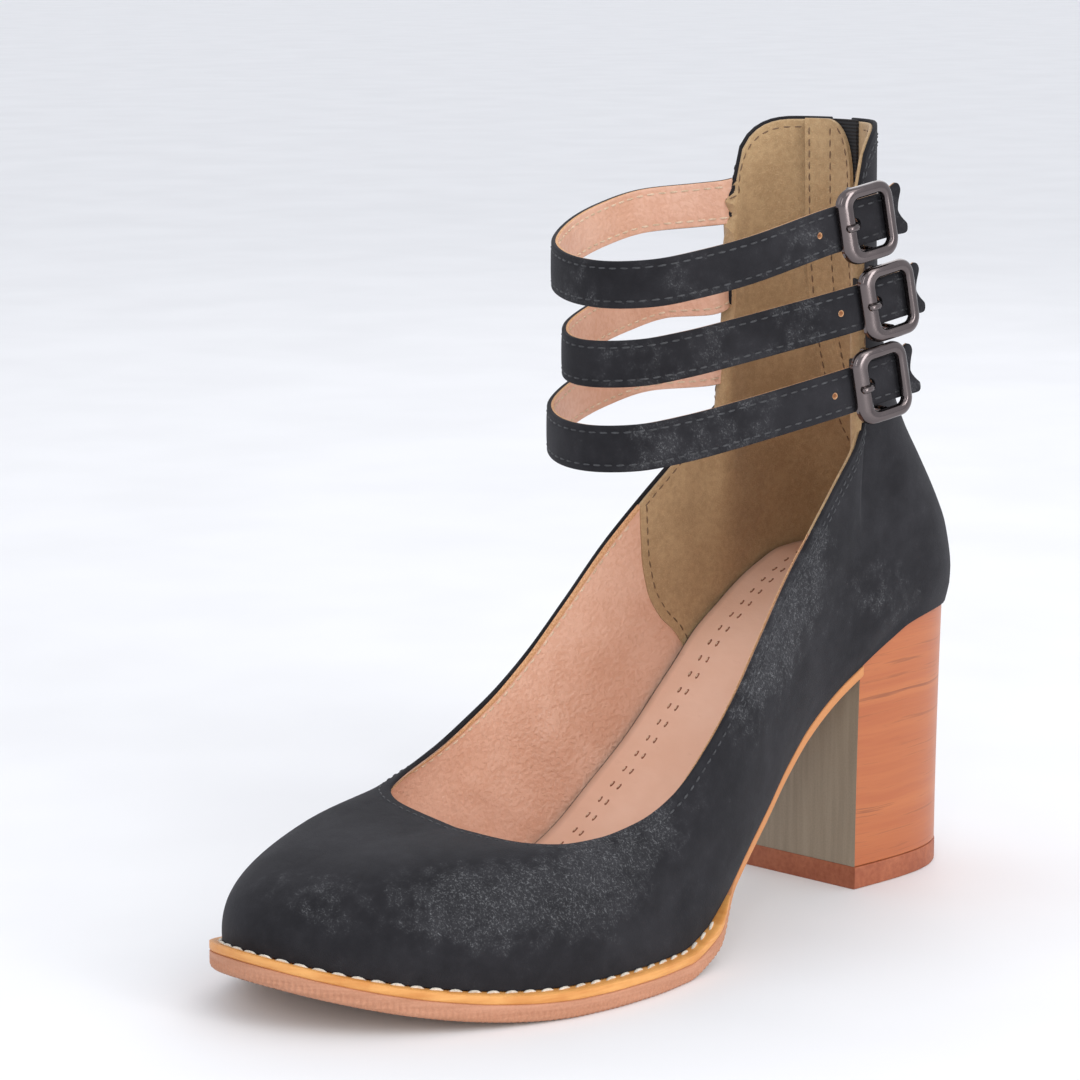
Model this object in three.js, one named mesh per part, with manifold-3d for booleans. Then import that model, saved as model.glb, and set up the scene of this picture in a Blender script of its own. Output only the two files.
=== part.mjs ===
// Left ankle-strap pump on a block heel, in millimetres.
// +X runs to the toe, +Y to the lateral (buckle) side, +Z up; the origin is on the floor under the heel's middle.
import * as THREE from 'three';
import { mergeVertices } from 'three/addons/utils/BufferGeometryUtils.js';
import Module from 'manifold-3d';

const wasm = await Module();
wasm.setup();

// Driving dimensions of the last
const shoeLength = 233.5;
const ballWidth = 85.3;
const seatHeight = 71.5;
const toeSpring = 10.5;
const toeShift = 13;
const gap = 0.3;

// Heel and bottom
const heelLength = 48;
const heelHalfWidth = 21;
const heelFlare = 0.8;
const liftThickness = 6;
const counterOverhang = 1.5;
const soleThickness = 4.4;
const waistThickness = 2.8;
const weltThickness = 2.1;
const weltStand = 3;
const weltInnerReach = 6;
const soleEdgeRound = 0.7;
const insoleRise = 15.5;
const insoleSpread = 3.7;
const insoleToeRelief = 1.2;

// Upper
const wall = 1.8;
const shaftTop = 199.5;
const shaftFront = 27.5;
const shaftHalfWidth = 21;
const shaftCorner = 15.5;

// Straps, elastics and buckles
const strapWidth = 11.5;
const strapThickness = 2;
const tailNotch = 2.4;
const tailFlare = 1.1;
const elasticWidth = 9.5;
const elasticThickness = 0.8;
const elasticTurn = 3.6;
const buckleLength = 17;
const buckleHeight = 19.2;
const buckleRail = 3.4;
const buckleDepth = 2.2;
const buckleCorner = 5;
const buckleBevel = 0.6;
const buckleTurn = Math.PI / 12;
const buckleRise = 0.2;
const barRadius = 0.7;
const prongRadius = 0.9;
const prongTip = 1.6;
const prongHole = 3.3;
const punchSpacing = 14;
const punchRadius = 1;

// Rear zip
const slotWidth = 7;
const slotFoot = 93;
const teethWidth = 4.4;
const teethDepth = 0.3;
const tapeWidth = 17;
const tapeThickness = 0.8;
const tapeOverlap = 4;
const guardWidth = 15;
const guardShift = -2.5;
const guardThickness = 1;
const sliderUp = 0.94;
const sliderLength = 11;
const sliderWidth = 7.8;
const sliderThickness = 1.6;
const bridgeWidth = 1.4;
const pullLength = 25;
const pullWidth = 9;
const pullEyeRadius = 0.65;
const pullEyeLength = 4.2;
const pullPlay = 0.35;
const pullLean = 6;

const black = { color: 0x2a2b30, roughness: 0.85, metalness: 0 };
const looks = {
  suede: black,
  insole: { color: 0xdeb49b, roughness: 0.6, metalness: 0 },
  welt: { color: 0xe0a058, roughness: 0.55, metalness: 0 },
  outsole: { color: 0xc08462, roughness: 0.6, metalness: 0 },
  stackedWood: { color: 0xc8703e, roughness: 0.45, metalness: 0 },
  lift: { color: 0x9b5537, roughness: 0.6, metalness: 0 },
  gunmetal: { color: 0x5a5252, roughness: 0.25, metalness: 0.9 },
  webbing: { color: 0x1d1d20, roughness: 0.9, metalness: 0 },
  guard: { color: 0xb0926a, roughness: 0.8, metalness: 0 },
};

const mix = (a, b, t) => a + (b - a) * t;
const clamp01 = (t) => Math.min(1, Math.max(0, t));
const ease = (t) => clamp01(t) ** 2 * (3 - 2 * clamp01(t));
const degrees = (angle) => (angle * Math.PI) / 180;

// Smooth curve through a table's column that never overshoots its rows
function curveOf(rows, key, along) {
  const xs = rows.map((row, i) => (along ? row[along] : i));
  const ys = rows.map((row) => row[key]);
  const last = xs.length - 1;
  const chords = xs.slice(1).map((x, i) => (ys[i + 1] - ys[i]) / (x - xs[i]));
  const slopes = xs.map((_, i) => {
    if (i === 0) return chords[0];
    if (i === last) return chords[last - 1];
    const [before, after] = [chords[i - 1], chords[i]];
    return before * after <= 0 ? 0 : (2 * before * after) / (before + after);
  });
  return (x) => {
    const i = Math.max(0, xs.findLastIndex((start, k) => start <= x && k < last));
    const span = xs[i + 1] - xs[i];
    const t = clamp01((x - xs[i]) / span);
    const [t2, t3] = [t * t, t * t * t];
    return ys[i] * (2 * t3 - 3 * t2 + 1) + slopes[i] * span * (t3 - 2 * t2 + t)
      + ys[i + 1] * (3 * t2 - 2 * t3) + slopes[i + 1] * span * (t3 - t2);
  };
}

// Stations along the shoe
const breast = heelLength / 2;
const backX = -heelLength / 2 - counterOverhang;
const toeX = backX + shoeLength;
const stationX = (share) => backX + share * shoeLength;
const shareAt = (x) => (x - backX) / shoeLength;
const seatMiddle = breast * 0.25;
const toeArcStart = stationX(0.753);
const forepartHeight = soleThickness + weltThickness + 2 * gap;

// Height of the feather edge: rise 1 at the seat and 0 on the forepart
const bottomLine = [
  { at: 0.000, rise: 1.000 },
  { at: 0.075, rise: 0.992 },
  { at: 0.127, rise: 0.966 },
  { at: 0.170, rise: 0.905 },
  { at: 0.217, rise: 0.823 },
  { at: 0.281, rise: 0.693 },
  { at: 0.341, rise: 0.531 },
  { at: 0.393, rise: 0.386 },
  { at: 0.444, rise: 0.262 },
  { at: 0.504, rise: 0.124 },
  { at: 0.556, rise: 0.036 },
  { at: 0.600, rise: 0.000 },
  { at: 1.000, rise: 0.000 },
];
const springStart = 0.73;
const springPower = 2.2;
const bottomRise = curveOf(bottomLine, 'rise', 'at');
function featherZ(x) {
  const share = shareAt(x);
  const spring = toeSpring * Math.max(0, (share - springStart) / (1 - springStart)) ** springPower;
  return forepartHeight + (seatHeight - forepartHeight) * bottomRise(share) + spring;
}

// Half widths of the feather edge, as shares of the ball width
const bottomPlan = [
  { at: 0.135, lateral: 0.267, medial: 0.267 },
  { at: 0.212, lateral: 0.258, medial: 0.258 },
  { at: 0.255, lateral: 0.252, medial: 0.246 },
  { at: 0.303, lateral: 0.253, medial: 0.246 },
  { at: 0.350, lateral: 0.270, medial: 0.256 },
  { at: 0.401, lateral: 0.305, medial: 0.273 },
  { at: 0.453, lateral: 0.345, medial: 0.303 },
  { at: 0.504, lateral: 0.388, medial: 0.345 },
  { at: 0.556, lateral: 0.427, medial: 0.400 },
  { at: 0.607, lateral: 0.452, medial: 0.453 },
  { at: 0.659, lateral: 0.464, medial: 0.497 },
  { at: 0.702, lateral: 0.460, medial: 0.516 },
  { at: 0.753, lateral: 0.440, medial: 0.516 },
];
const planWidth = { 1: curveOf(bottomPlan, 'lateral', 'at'), '-1': curveOf(bottomPlan, 'medial', 'at') };
const seatPower = 2.6;
const toePower = { 1: 1.25, '-1': 2.4 };

// Signed Y of the feather edge at x, moved out by grow; side is 1 lateral, -1 medial
function edgeY(x, side, grow = 0) {
  if (x < seatMiddle) {
    const t = clamp01((seatMiddle - x) / (seatMiddle - backX + grow));
    const widest = planWidth[side](shareAt(seatMiddle)) * ballWidth + grow;
    return side * widest * Math.sqrt(1 - t ** seatPower);
  }
  const half = planWidth[side](Math.min(shareAt(x), shareAt(toeArcStart))) * ballWidth + grow;
  if (x <= toeArcStart) return side * half;
  const t = clamp01((x - toeArcStart) / (toeX - toeArcStart + grow));
  return -toeShift + (side * half + toeShift) * Math.sqrt(1 - t ** toePower[side]);
}

// Stations between two X values, set closer where the outline turns at its ends
function stations(from, to, count, roundFrom, roundTo) {
  return Array.from({ length: count + 1 }, (_, i) => {
    const t = i / count;
    if (roundFrom && roundTo) return mix(from, to, (1 - Math.cos(Math.PI * t)) / 2);
    if (roundFrom) return mix(from, to, 1 - Math.cos((Math.PI / 2) * t));
    if (roundTo) return mix(from, to, Math.sin((Math.PI / 2) * t));
    return mix(from, to, t);
  });
}

// Closed mesh from triangles of points
function solidFrom(triangles) {
  const geometry = new THREE.BufferGeometry();
  const flat = triangles.flat().flatMap((point) => [point.x, point.y, point.z]);
  geometry.setAttribute('position', new THREE.Float32BufferAttribute(flat, 3));
  const merged = mergeVertices(geometry, 1e-4);
  const kept = [];
  for (let i = 0; i < merged.index.count; i += 3) {
    const corners = [0, 1, 2].map((k) => merged.index.getX(i + k));
    if (new Set(corners).size === 3) kept.push(...corners);
  }
  merged.setIndex(kept);
  return merged;
}

const quad = (a, b, c, d) => [[a, b, c], [a, c, d]];

// Loft through rings laid out as one face's points and then the other face's in reverse
function lofted(rings) {
  const count = rings[0].length;
  const triangles = [];
  for (let r = 0; r + 1 < rings.length; r++) {
    for (let i = 0; i < count; i++) {
      const j = (i + 1) % count;
      triangles.push(...quad(rings[r][i], rings[r][j], rings[r + 1][j], rings[r + 1][i]));
    }
  }
  const cap = (ring, flip) => {
    for (let i = 0; i + 1 < count / 2; i++) {
      const corners = [ring[i], ring[i + 1], ring[count - 2 - i], ring[count - 1 - i]];
      triangles.push(...quad(...(flip ? corners.reverse() : corners)));
    }
  };
  cap(rings[0], true);
  cap(rings.at(-1), false);
  return outward(solidFrom(triangles));
}

// Turn a closed mesh's faces outwards if its volume comes out negative
function outward(geometry) {
  const position = geometry.attributes.position;
  const index = geometry.index.array;
  const point = (k) => new THREE.Vector3().fromBufferAttribute(position, k);
  let volume = 0;
  for (let i = 0; i < index.length; i += 3) {
    volume += point(index[i]).dot(point(index[i + 1]).cross(point(index[i + 2])));
  }
  if (volume < 0) {
    for (let i = 0; i < index.length; i += 3) {
      [index[i], index[i + 1]] = [index[i + 1], index[i]];
    }
  }
  return geometry;
}

function toManifold(geometry) {
  const bare = geometry.clone();
  bare.deleteAttribute('normal');
  bare.deleteAttribute('uv');
  const merged = bare.index && !geometry.attributes.uv ? bare : mergeVertices(bare, 1e-4);
  return new wasm.Manifold(new wasm.Mesh({
    numProp: 3,
    vertProperties: Float32Array.from(merged.attributes.position.array),
    triVerts: Uint32Array.from(merged.index.array),
  }));
}

function fromManifold(body) {
  const mesh = body.getMesh();
  const geometry = new THREE.BufferGeometry();
  geometry.setAttribute('position', new THREE.Float32BufferAttribute(mesh.vertProperties, 3));
  geometry.setIndex(Array.from(mesh.triVerts));
  return geometry;
}

function joined(first, ...others) {
  return fromManifold(others.reduce((body, other) => body.add(toManifold(other)), toManifold(first)));
}

function cut(first, ...tools) {
  return fromManifold(tools.reduce((body, tool) => body.subtract(toManifold(tool)), toManifold(first)));
}

// Horizontal sections of the heel counter and the shaft, up the back
const backTable = [
  { up: 0.358, middle: 0.135, back: 0.000, half: 0.267, power: 2.6 },
  { up: 0.383, middle: 0.137, back: -0.004, half: 0.285, power: 2.5 },
  { up: 0.416, middle: 0.140, back: -0.002, half: 0.296, power: 2.4 },
  { up: 0.461, middle: 0.148, back: 0.007, half: 0.296, power: 2.3 },
  { up: 0.501, middle: 0.157, back: 0.023, half: 0.288, power: 2.2 },
  { up: 0.556, middle: 0.176, back: 0.052, half: 0.276, power: 2.1 },
  { up: 0.607, middle: 0.193, back: 0.082, half: 0.267, power: 2.0 },
  { up: 0.657, middle: 0.206, back: 0.105, half: 0.260, power: 2.0 },
  { up: 0.707, middle: 0.216, back: 0.120, half: 0.256, power: 2.0 },
  { up: 0.777, middle: 0.223, back: 0.132, half: 0.254, power: 2.0 },
  { up: 0.852, middle: 0.227, back: 0.139, half: 0.252, power: 2.0 },
  { up: 1.000, middle: 0.227, back: 0.143, half: 0.252, power: 2.0 },
];
const backSection = Object.fromEntries(
  ['middle', 'back', 'half', 'power'].map((key) => [key, curveOf(backTable, key, 'up')]),
);
const shaftWidthScale = shaftHalfWidth / (backTable.at(-1).half * ballWidth);
const shaftFrontShift = shaftFront - stationX(backTable.at(-1).middle);

// Point of the counter or shaft at a height, where turn is 0 on the back seam and 1 at the side
function backPoint(turn, z, side) {
  const up = z / shaftTop;
  const shaftShare = ease((up - 0.45) / 0.25);
  const shift = shaftFrontShift * shaftShare;
  const middle = stationX(backSection.middle(up)) + shift;
  const back = stationX(backSection.back(up)) + shift;
  const half = backSection.half(up) * ballWidth * mix(1, shaftWidthScale, shaftShare);
  const along = Math.cos((turn * Math.PI) / 2);
  return new THREE.Vector3(
    middle - (middle - back) * along,
    side * half * Math.sqrt(Math.max(0, 1 - along ** backSection.power(up))),
    z,
  );
}

// Top edge of the shaft at x, with its rounded front corner
function shaftTopZ(x) {
  const into = clamp01((x - (shaftFront - shaftCorner)) / shaftCorner);
  return shaftTop - shaftCorner * (1 - Math.sqrt(1 - into * into));
}

// One row for each strip of the side wall: foot runs along the feather edge, rim, half widths and
// heights give the topline; dome, belly and puff shape the strip between them
const sideTable = [
  { foot: 0.000, rim: 0.227, lateral: 0.252, medial: 0.252, lateralUp: 0.922, medialUp: 0.922, dome: 0.0, belly: 0.0 },
  { foot: 0.034, rim: 0.227, lateral: 0.257, medial: 0.252, lateralUp: 0.817, medialUp: 0.817, dome: 0.0, belly: 0.5 },
  { foot: 0.068, rim: 0.227, lateral: 0.268, medial: 0.257, lateralUp: 0.717, medialUp: 0.717, dome: 0.0, belly: 1.0 },
  { foot: 0.097, rim: 0.229, lateral: 0.286, medial: 0.274, lateralUp: 0.643, medialUp: 0.645, dome: 0.0, belly: 1.5 },
  { foot: 0.131, rim: 0.249, lateral: 0.305, medial: 0.305, lateralUp: 0.603, medialUp: 0.606, dome: 0.0, belly: 2.0 },
  { foot: 0.175, rim: 0.290, lateral: 0.324, medial: 0.324, lateralUp: 0.560, medialUp: 0.563, dome: 0.0, belly: 2.4 },
  { foot: 0.228, rim: 0.341, lateral: 0.346, medial: 0.346, lateralUp: 0.509, medialUp: 0.513, dome: 0.0, belly: 2.6 },
  { foot: 0.287, rim: 0.393, lateral: 0.366, medial: 0.366, lateralUp: 0.455, medialUp: 0.460, dome: 0.0, belly: 2.8 },
  { foot: 0.345, rim: 0.448, lateral: 0.389, medial: 0.389, lateralUp: 0.388, medialUp: 0.393, dome: 0.1, belly: 2.8 },
  { foot: 0.403, rim: 0.496, lateral: 0.410, medial: 0.410, lateralUp: 0.331, medialUp: 0.336, dome: 0.15, belly: 2.6 },
  { foot: 0.457, rim: 0.543, lateral: 0.422, medial: 0.420, lateralUp: 0.281, medialUp: 0.294, dome: 0.25, belly: 2.2 },
  { foot: 0.510, rim: 0.590, lateral: 0.412, medial: 0.415, lateralUp: 0.232, medialUp: 0.266, dome: 0.4, belly: 1.8 },
  { foot: 0.569, rim: 0.637, lateral: 0.374, medial: 0.405, lateralUp: 0.200, medialUp: 0.242, dome: 0.55, belly: 1.4 },
  { foot: 0.632, rim: 0.685, lateral: 0.343, medial: 0.392, lateralUp: 0.189, medialUp: 0.222, dome: 0.7, belly: 1.0 },
  { foot: 0.700, rim: 0.721, lateral: 0.310, medial: 0.365, lateralUp: 0.187, medialUp: 0.208, dome: 0.85, belly: 0.6 },
  { foot: 0.800, rim: 0.745, lateral: 0.205, medial: 0.270, lateralUp: 0.186, medialUp: 0.200, dome: 1.0, belly: 0.4 },
  { foot: 0.900, rim: 0.751, lateral: 0.095, medial: 0.140, lateralUp: 0.187, medialUp: 0.194, dome: 1.0, belly: 0.4 },
  { foot: 1.000, rim: 0.752, lateral: -0.023, medial: 0.023, lateralUp: 0.188, medialUp: 0.188, dome: 1.0, belly: 0.4 },
];
const sideCurve = Object.fromEntries(
  Object.keys(sideTable[0]).map((key) => [key, curveOf(sideTable, key)]),
);
const footArcStart = 0.7;
const domeFullness = 0.72;
const toePuff = 2;
const counterFadeRows = 6;
const backShare = 0.2;

// X of the feather edge for a foot value of the table
function footX(foot) {
  if (foot <= footArcStart) return mix(seatMiddle, toeArcStart, foot / footArcStart);
  return mix(toeArcStart, toeX, Math.sin(((foot - footArcStart) / (1 - footArcStart)) * (Math.PI / 2)));
}

// Horizontal direction out of the shoe at a foot value
function footOut(foot, side) {
  const step = 0.01;
  const [a, b] = [footX(Math.max(0, foot - step)), footX(Math.min(1, foot + step))];
  const along = new THREE.Vector2(b - a, edgeY(b, side) - edgeY(a, side)).normalize();
  if (foot > 1 - step) return new THREE.Vector2(1, 0);
  return new THREE.Vector2(-side * along.y, side * along.x);
}

// Outer skin of the upper: walk runs from the back seam (0) to the toe (1), rise from feather edge to topline
function skin(walk, rise, side) {
  if (walk <= backShare) {
    const turn = walk / backShare;
    const rim = backPoint(turn, shaftTop, side);
    const foot = backPoint(turn, seatHeight, side);
    return backPoint(turn, mix(featherZ(foot.x), shaftTopZ(rim.x), rise), side);
  }
  const row = ((walk - backShare) / (1 - backShare)) * (sideTable.length - 1);
  const value = (key) => sideCurve[key](row);
  const name = side > 0 ? 'lateral' : 'medial';
  const x = footX(value('foot'));
  const foot = new THREE.Vector3(x, edgeY(x, side), featherZ(x));
  const nearShaft = 1 - ease(row / 4);
  const rim = new THREE.Vector3(
    stationX(value('rim')) + shaftFrontShift * nearShaft,
    side * value(name) * ballWidth * mix(1, shaftWidthScale, nearShaft),
    value(`${name}Up`) * shaftTop,
  );
  if (row < 1e-9) rim.z = shaftTop - shaftCorner;
  const dome = value('dome');
  const quarterTurn = (rise * Math.PI) / 2;
  const inward = mix(rise, 1 - Math.cos(quarterTurn), dome);
  const upward = mix(rise, Math.sin(quarterTurn) ** mix(1, domeFullness, dome), dome);
  const point = new THREE.Vector3(mix(foot.x, rim.x, inward), mix(foot.y, rim.y, inward), mix(foot.z, rim.z, upward));
  const out = footOut(value('foot'), side);
  const bulge = value('belly') * Math.sin(Math.PI * rise ** 0.75);
  point.x += out.x * bulge;
  point.y += out.y * bulge;
  point.z += toePuff * dome * Math.sin(Math.PI * rise);
  const fade = 1 - ease(row / counterFadeRows);
  if (fade > 0) {
    const start = backPoint(1, featherZ(seatMiddle), side);
    const end = backPoint(1, shaftTop - shaftCorner, side);
    const bowed = backPoint(1, mix(start.z, end.z, rise), side);
    point.add(bowed.sub(start.lerp(end, rise)).multiplyScalar(fade));
  }
  return point;
}

// Outward unit normal of the skin
function skinNormal(walk, rise, side) {
  const step = 0.004;
  const across = skin(Math.min(1, walk + step), rise, side).sub(skin(Math.max(0, walk - step), rise, side));
  const up = skin(walk, Math.min(1, rise + step), side).sub(skin(walk, Math.max(0, rise - step), side));
  const normal = up.cross(across).multiplyScalar(side).normalize();
  if (walk === 0 || (walk === 1 && rise < 0.5)) normal.y = 0;
  return normal.normalize();
}

// Point of the skin moved in by a depth; the bottom row moves level, so that it stays on the bottom line
function skinAt(walk, rise, side, depth) {
  const point = skin(walk, rise, side);
  const normal = skinNormal(walk, rise, side);
  if (rise === 0) {
    normal.z = 0;
    normal.normalize();
  }
  point.addScaledVector(normal, -depth);
  if (rise === 0) point.z = featherZ(point.x);
  return point;
}

// Closed shell between two depths under the skin, all round
function fullShell(walks, rises) {
  const around = [
    ...walks.map((walk) => [walk, 1]),
    ...walks.slice(1, -1).reverse().map((walk) => [walk, -1]),
  ];
  const grid = (depth) => around.map(([walk, side]) => rises.map((rise) => skinAt(walk, rise, side, depth)));
  const [outer, inner] = [grid(0), grid(wall)];
  const triangles = [];
  const top = rises.length - 1;
  for (let i = 0; i < around.length; i++) {
    const j = (i + 1) % around.length;
    for (let k = 0; k < top; k++) {
      triangles.push(...quad(outer[i][k], outer[i][k + 1], outer[j][k + 1], outer[j][k]));
      triangles.push(...quad(inner[j][k], inner[j][k + 1], inner[i][k + 1], inner[i][k]));
    }
    triangles.push(...quad(outer[i][top], inner[i][top], inner[j][top], outer[j][top]));
    triangles.push(...quad(inner[i][0], outer[i][0], outer[j][0], inner[j][0]));
  }
  return outward(solidFrom(triangles));
}

// Strip of the back wall between two depths, as wide as given, from one height to another
function backStrip({ width, lowZ, highZ, nearDepth, farDepth, shift = 0 }) {
  const across = 4;
  const levels = 10;
  const pointAt = (y, z, depth) => {
    const side = y < 0 ? -1 : 1;
    const seam = backPoint(0, z, 1);
    const flank = backPoint(1, z, 1);
    const power = backSection.power(z / shaftTop);
    const along = (1 - (Math.abs(y) / flank.y) ** 2) ** (1 / power);
    const point = backPoint(Math.acos(along) / (Math.PI / 2), z, side);
    const reach = flank.x - seam.x;
    const normal = new THREE.Vector3(-(power * along ** (power - 1)) / reach, (2 * y) / flank.y ** 2, 0).normalize();
    normal.z = -normal.x * (backPoint(0, z + 1, 1).x - backPoint(0, z - 1, 1).x) / 2;
    return point.addScaledVector(normal.normalize(), -depth);
  };
  const ys = Array.from({ length: across + 1 }, (_, i) => shift + width * (i / across - 0.5));
  const rings = Array.from({ length: levels + 1 }, (_, k) => {
    const z = mix(lowZ, highZ, k / levels);
    return [...ys.map((y) => pointAt(y, z, nearDepth)), ...ys.toReversed().map((y) => pointAt(y, z, farDepth))];
  });
  return lofted(rings);
}

// Plate that follows the bottom line, as rings of lateral points upwards and medial points downwards
function plate(xs, edge, levels) {
  return lofted(xs.map((x) => {
    const column = (side) => levels.map(({ z, inset }) => new THREE.Vector3(x, edge(x, side, -inset), z(x)));
    return [...column(1), ...column(-1).reverse()];
  }));
}

// Share of the forepart's full build, which fades out into the waist
const foreness = (x) => ease((shareAt(x) - 0.475) / 0.065);
const slopeOf = (x) => (featherZ(x + 1) - featherZ(x - 1)) / 2;
const weltTop = (x) => featherZ(x) - gap;
const soleTop = (x) => weltTop(x) - (weltThickness + gap) * foreness(x);
const soleBottom = (x) => {
  const waist = waistThickness * Math.hypot(1, slopeOf(x));
  return soleTop(x) - mix(waist, soleThickness, foreness(x));
};

function makeUpper() {
  const backColumns = Array.from({ length: 8 }, (_, i) => (backShare * i) / 8);
  const sideColumns = Array.from({ length: 31 }, (_, i) => mix(backShare, 1, i / 30));
  const rises = [0, 0.04, 0.1, 0.18, 0.27, 0.37, 0.48, 0.6, 0.72, 0.84, 0.93, 1];
  const shell = fullShell([...backColumns, ...sideColumns], rises);
  const slotHeight = shaftTop * 2 - slotFoot;
  const slotDepth = shaftFront - 2 * backX;
  const slot = new THREE.BoxGeometry(slotDepth, slotWidth, slotHeight);
  slot.translate(shaftFront - 8 - slotDepth / 2, 0, slotFoot + slotHeight / 2);
  return cut(shell, slot);
}

// Top of the insole over the feather edge, and how far its rim leans out with the upper's wall
const insoleTable = [
  { at: 0.024, rise: 0.87, spread: -0.20 },
  { at: 0.066, rise: 0.87, spread: 0.33 },
  { at: 0.109, rise: 0.90, spread: 0.55 },
  { at: 0.152, rise: 0.97, spread: 0.68 },
  { at: 0.195, rise: 1.00, spread: 0.78 },
  { at: 0.238, rise: 1.00, spread: 0.86 },
  { at: 0.280, rise: 0.97, spread: 0.95 },
  { at: 0.323, rise: 0.84, spread: 0.95 },
  { at: 0.375, rise: 0.68, spread: 0.85 },
  { at: 0.439, rise: 0.50, spread: 0.66 },
  { at: 0.503, rise: 0.29, spread: 0.30 },
  { at: 0.559, rise: 0.19, spread: 0.10 },
  { at: 0.623, rise: 0.16, spread: -0.12 },
  { at: 1.000, rise: 0.16, spread: -0.12 },
];

function makeInsole() {
  const inset = (x) => wall + 2 * gap + insoleToeRelief * ease((shareAt(x) - 0.8) / 0.2);
  const xs = stations(backX + inset(backX), toeX - inset(toeX), 44, true, true);
  const rise = curveOf(insoleTable, 'rise', 'at');
  const spread = curveOf(insoleTable, 'spread', 'at');
  const lean = (x, level) => level * insoleSpread * spread(shareAt(x));
  return lofted(xs.map((x) => {
    const column = (side) => [0, 0.5, 1].map((level) => new THREE.Vector3(
      x,
      edgeY(x, side, lean(x, level) - inset(x)),
      featherZ(x) + level * insoleRise * rise(shareAt(x)),
    ));
    return [...column(1), ...column(-1).reverse()];
  }));
}

function makeOutsole() {
  const stand = (x) => weltStand * foreness(x);
  const xs = [...stations(breast + gap, toeArcStart, 30), ...stations(toeArcStart, toeX + weltStand, 14, false, true).slice(1)];
  const edge = (x, side, grow) => edgeY(x, side, grow + stand(x));
  return plate(xs, edge, [
    { z: soleBottom, inset: soleEdgeRound },
    { z: (x) => soleBottom(x) + soleEdgeRound, inset: 0 },
    { z: soleTop, inset: 0 },
  ]);
}

function makeWelt() {
  const startShare = 0.5;
  const half = (side) => {
    const xs = [...stations(stationX(startShare), toeArcStart, 12), ...stations(toeArcStart, toeX, 12, false, true).slice(1)];
    return xs.map((x) => ({ x, side }));
  };
  const path = [...half(1), ...half(-1).reverse().slice(1)];
  const rings = path.map(({ x, side }) => {
    const tip = x > toeX - 1e-6;
    const step = 0.05;
    const slope = tip ? 0 : (edgeY(x + step, side) - edgeY(x - step, side)) / (2 * step);
    const out = tip ? new THREE.Vector2(1, 0) : new THREE.Vector2(-side * slope, side).normalize();
    const at = (reach, z) => {
      const px = x + out.x * reach;
      return new THREE.Vector3(px, edgeY(x, side) + out.y * reach, z(px));
    };
    const low = (px) => soleTop(px) + gap;
    const stand = weltStand * foreness(x);
    return [at(stand, low), at(stand, weltTop), at(-weltInnerReach, weltTop), at(-weltInnerReach, low)];
  });
  return lofted(rings);
}

// Column of the heel's outline, turn 0 at the breast corner and 1 on the back seam
function heelRings(lowZ, topZ, levels) {
  const count = 18;
  const rings = [];
  for (let i = 0; i <= count; i++) {
    const t = i / count;
    const ring = (side) => Array.from({ length: levels + 1 }, (_, k) => {
      const v = k / levels;
      const flare = heelFlare * v ** 2;
      const back = -breast - flare;
      const x = t < 0.35
        ? mix(breast, seatMiddle, t / 0.35)
        : mix(seatMiddle, back, Math.sin((((t - 0.35) / 0.65) * Math.PI) / 2));
      const share = clamp01((seatMiddle - x) / (seatMiddle - back));
      const narrowing = 1.2 * clamp01((x - seatMiddle) / (breast - seatMiddle)) ** 1.5;
      const half = (heelHalfWidth + flare) * Math.sqrt(Math.max(0, 1 - share ** seatPower)) - narrowing;
      return new THREE.Vector3(x, side * half, mix(lowZ, topZ(x), v));
    });
    rings.push([...ring(1), ...ring(-1).reverse()]);
  }
  return rings;
}

const makeHeelBlock = () => lofted(heelRings(liftThickness + gap, weltTop, 6));
const makeTopLift = () => lofted(heelRings(0, () => liftThickness, 1));

// Band of a given width swept along a path, standing upright, with an end cut to a fish tail
function ribbon(points, width, thickness, samples, tail) {
  const path = new THREE.CatmullRomCurve3(points, false, 'centripetal');
  const across = [-1, 0, 1];
  const rings = Array.from({ length: samples + 1 }, (_, i) => {
    const t = i / samples;
    const along = path.getTangentAt(t);
    const up = new THREE.Vector3(0, 0, 1).addScaledVector(along, -along.z).normalize();
    const out = new THREE.Vector3().crossVectors(along, up);
    const widen = tail ? tailFlare * clamp01((t - 0.96) / 0.04) : 0;
    const notch = tail && i === samples ? tailNotch : 0;
    const face = (depth) => across.map((share) => path.getPointAt(t)
      .addScaledVector(up, share * (width / 2 + widen))
      .addScaledVector(out, depth)
      .addScaledVector(along, -notch * (1 - Math.abs(share))));
    return [...face(thickness / 2), ...face(-thickness / 2).reverse()];
  });
  return { geometry: lofted(rings), path };
}

// Share of a path's length that lies nearest to a point, in its buckle half
function nearestOn(path, spot) {
  const shares = Array.from({ length: 400 }, (_, i) => mix(0.5, 1, i / 400));
  const away = (share) => path.getPointAt(share).distanceTo(spot);
  return shares.reduce((best, share) => (away(share) < away(best) ? share : best));
}

// Plan of a strap loop from the medial shaft edge round the front:
// reach is a share of the loop's length, across a share of the loop's half width
const loopPlan = [
  { reach: 0.070, across: -0.85 },
  { reach: 0.190, across: -1.19 },
  { reach: 0.380, across: -1.24 },
  { reach: 0.600, across: -1.13 },
  { reach: 0.850, across: -0.80 },
  { reach: 0.975, across: -0.38 },
  { reach: 1.000, across: 0.02 },
  { reach: 0.935, across: 0.35 },
  { reach: 0.800, across: 0.53 },
  { reach: 0.620, across: 0.66 },
];
const loopHalfWidth = 34;
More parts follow.
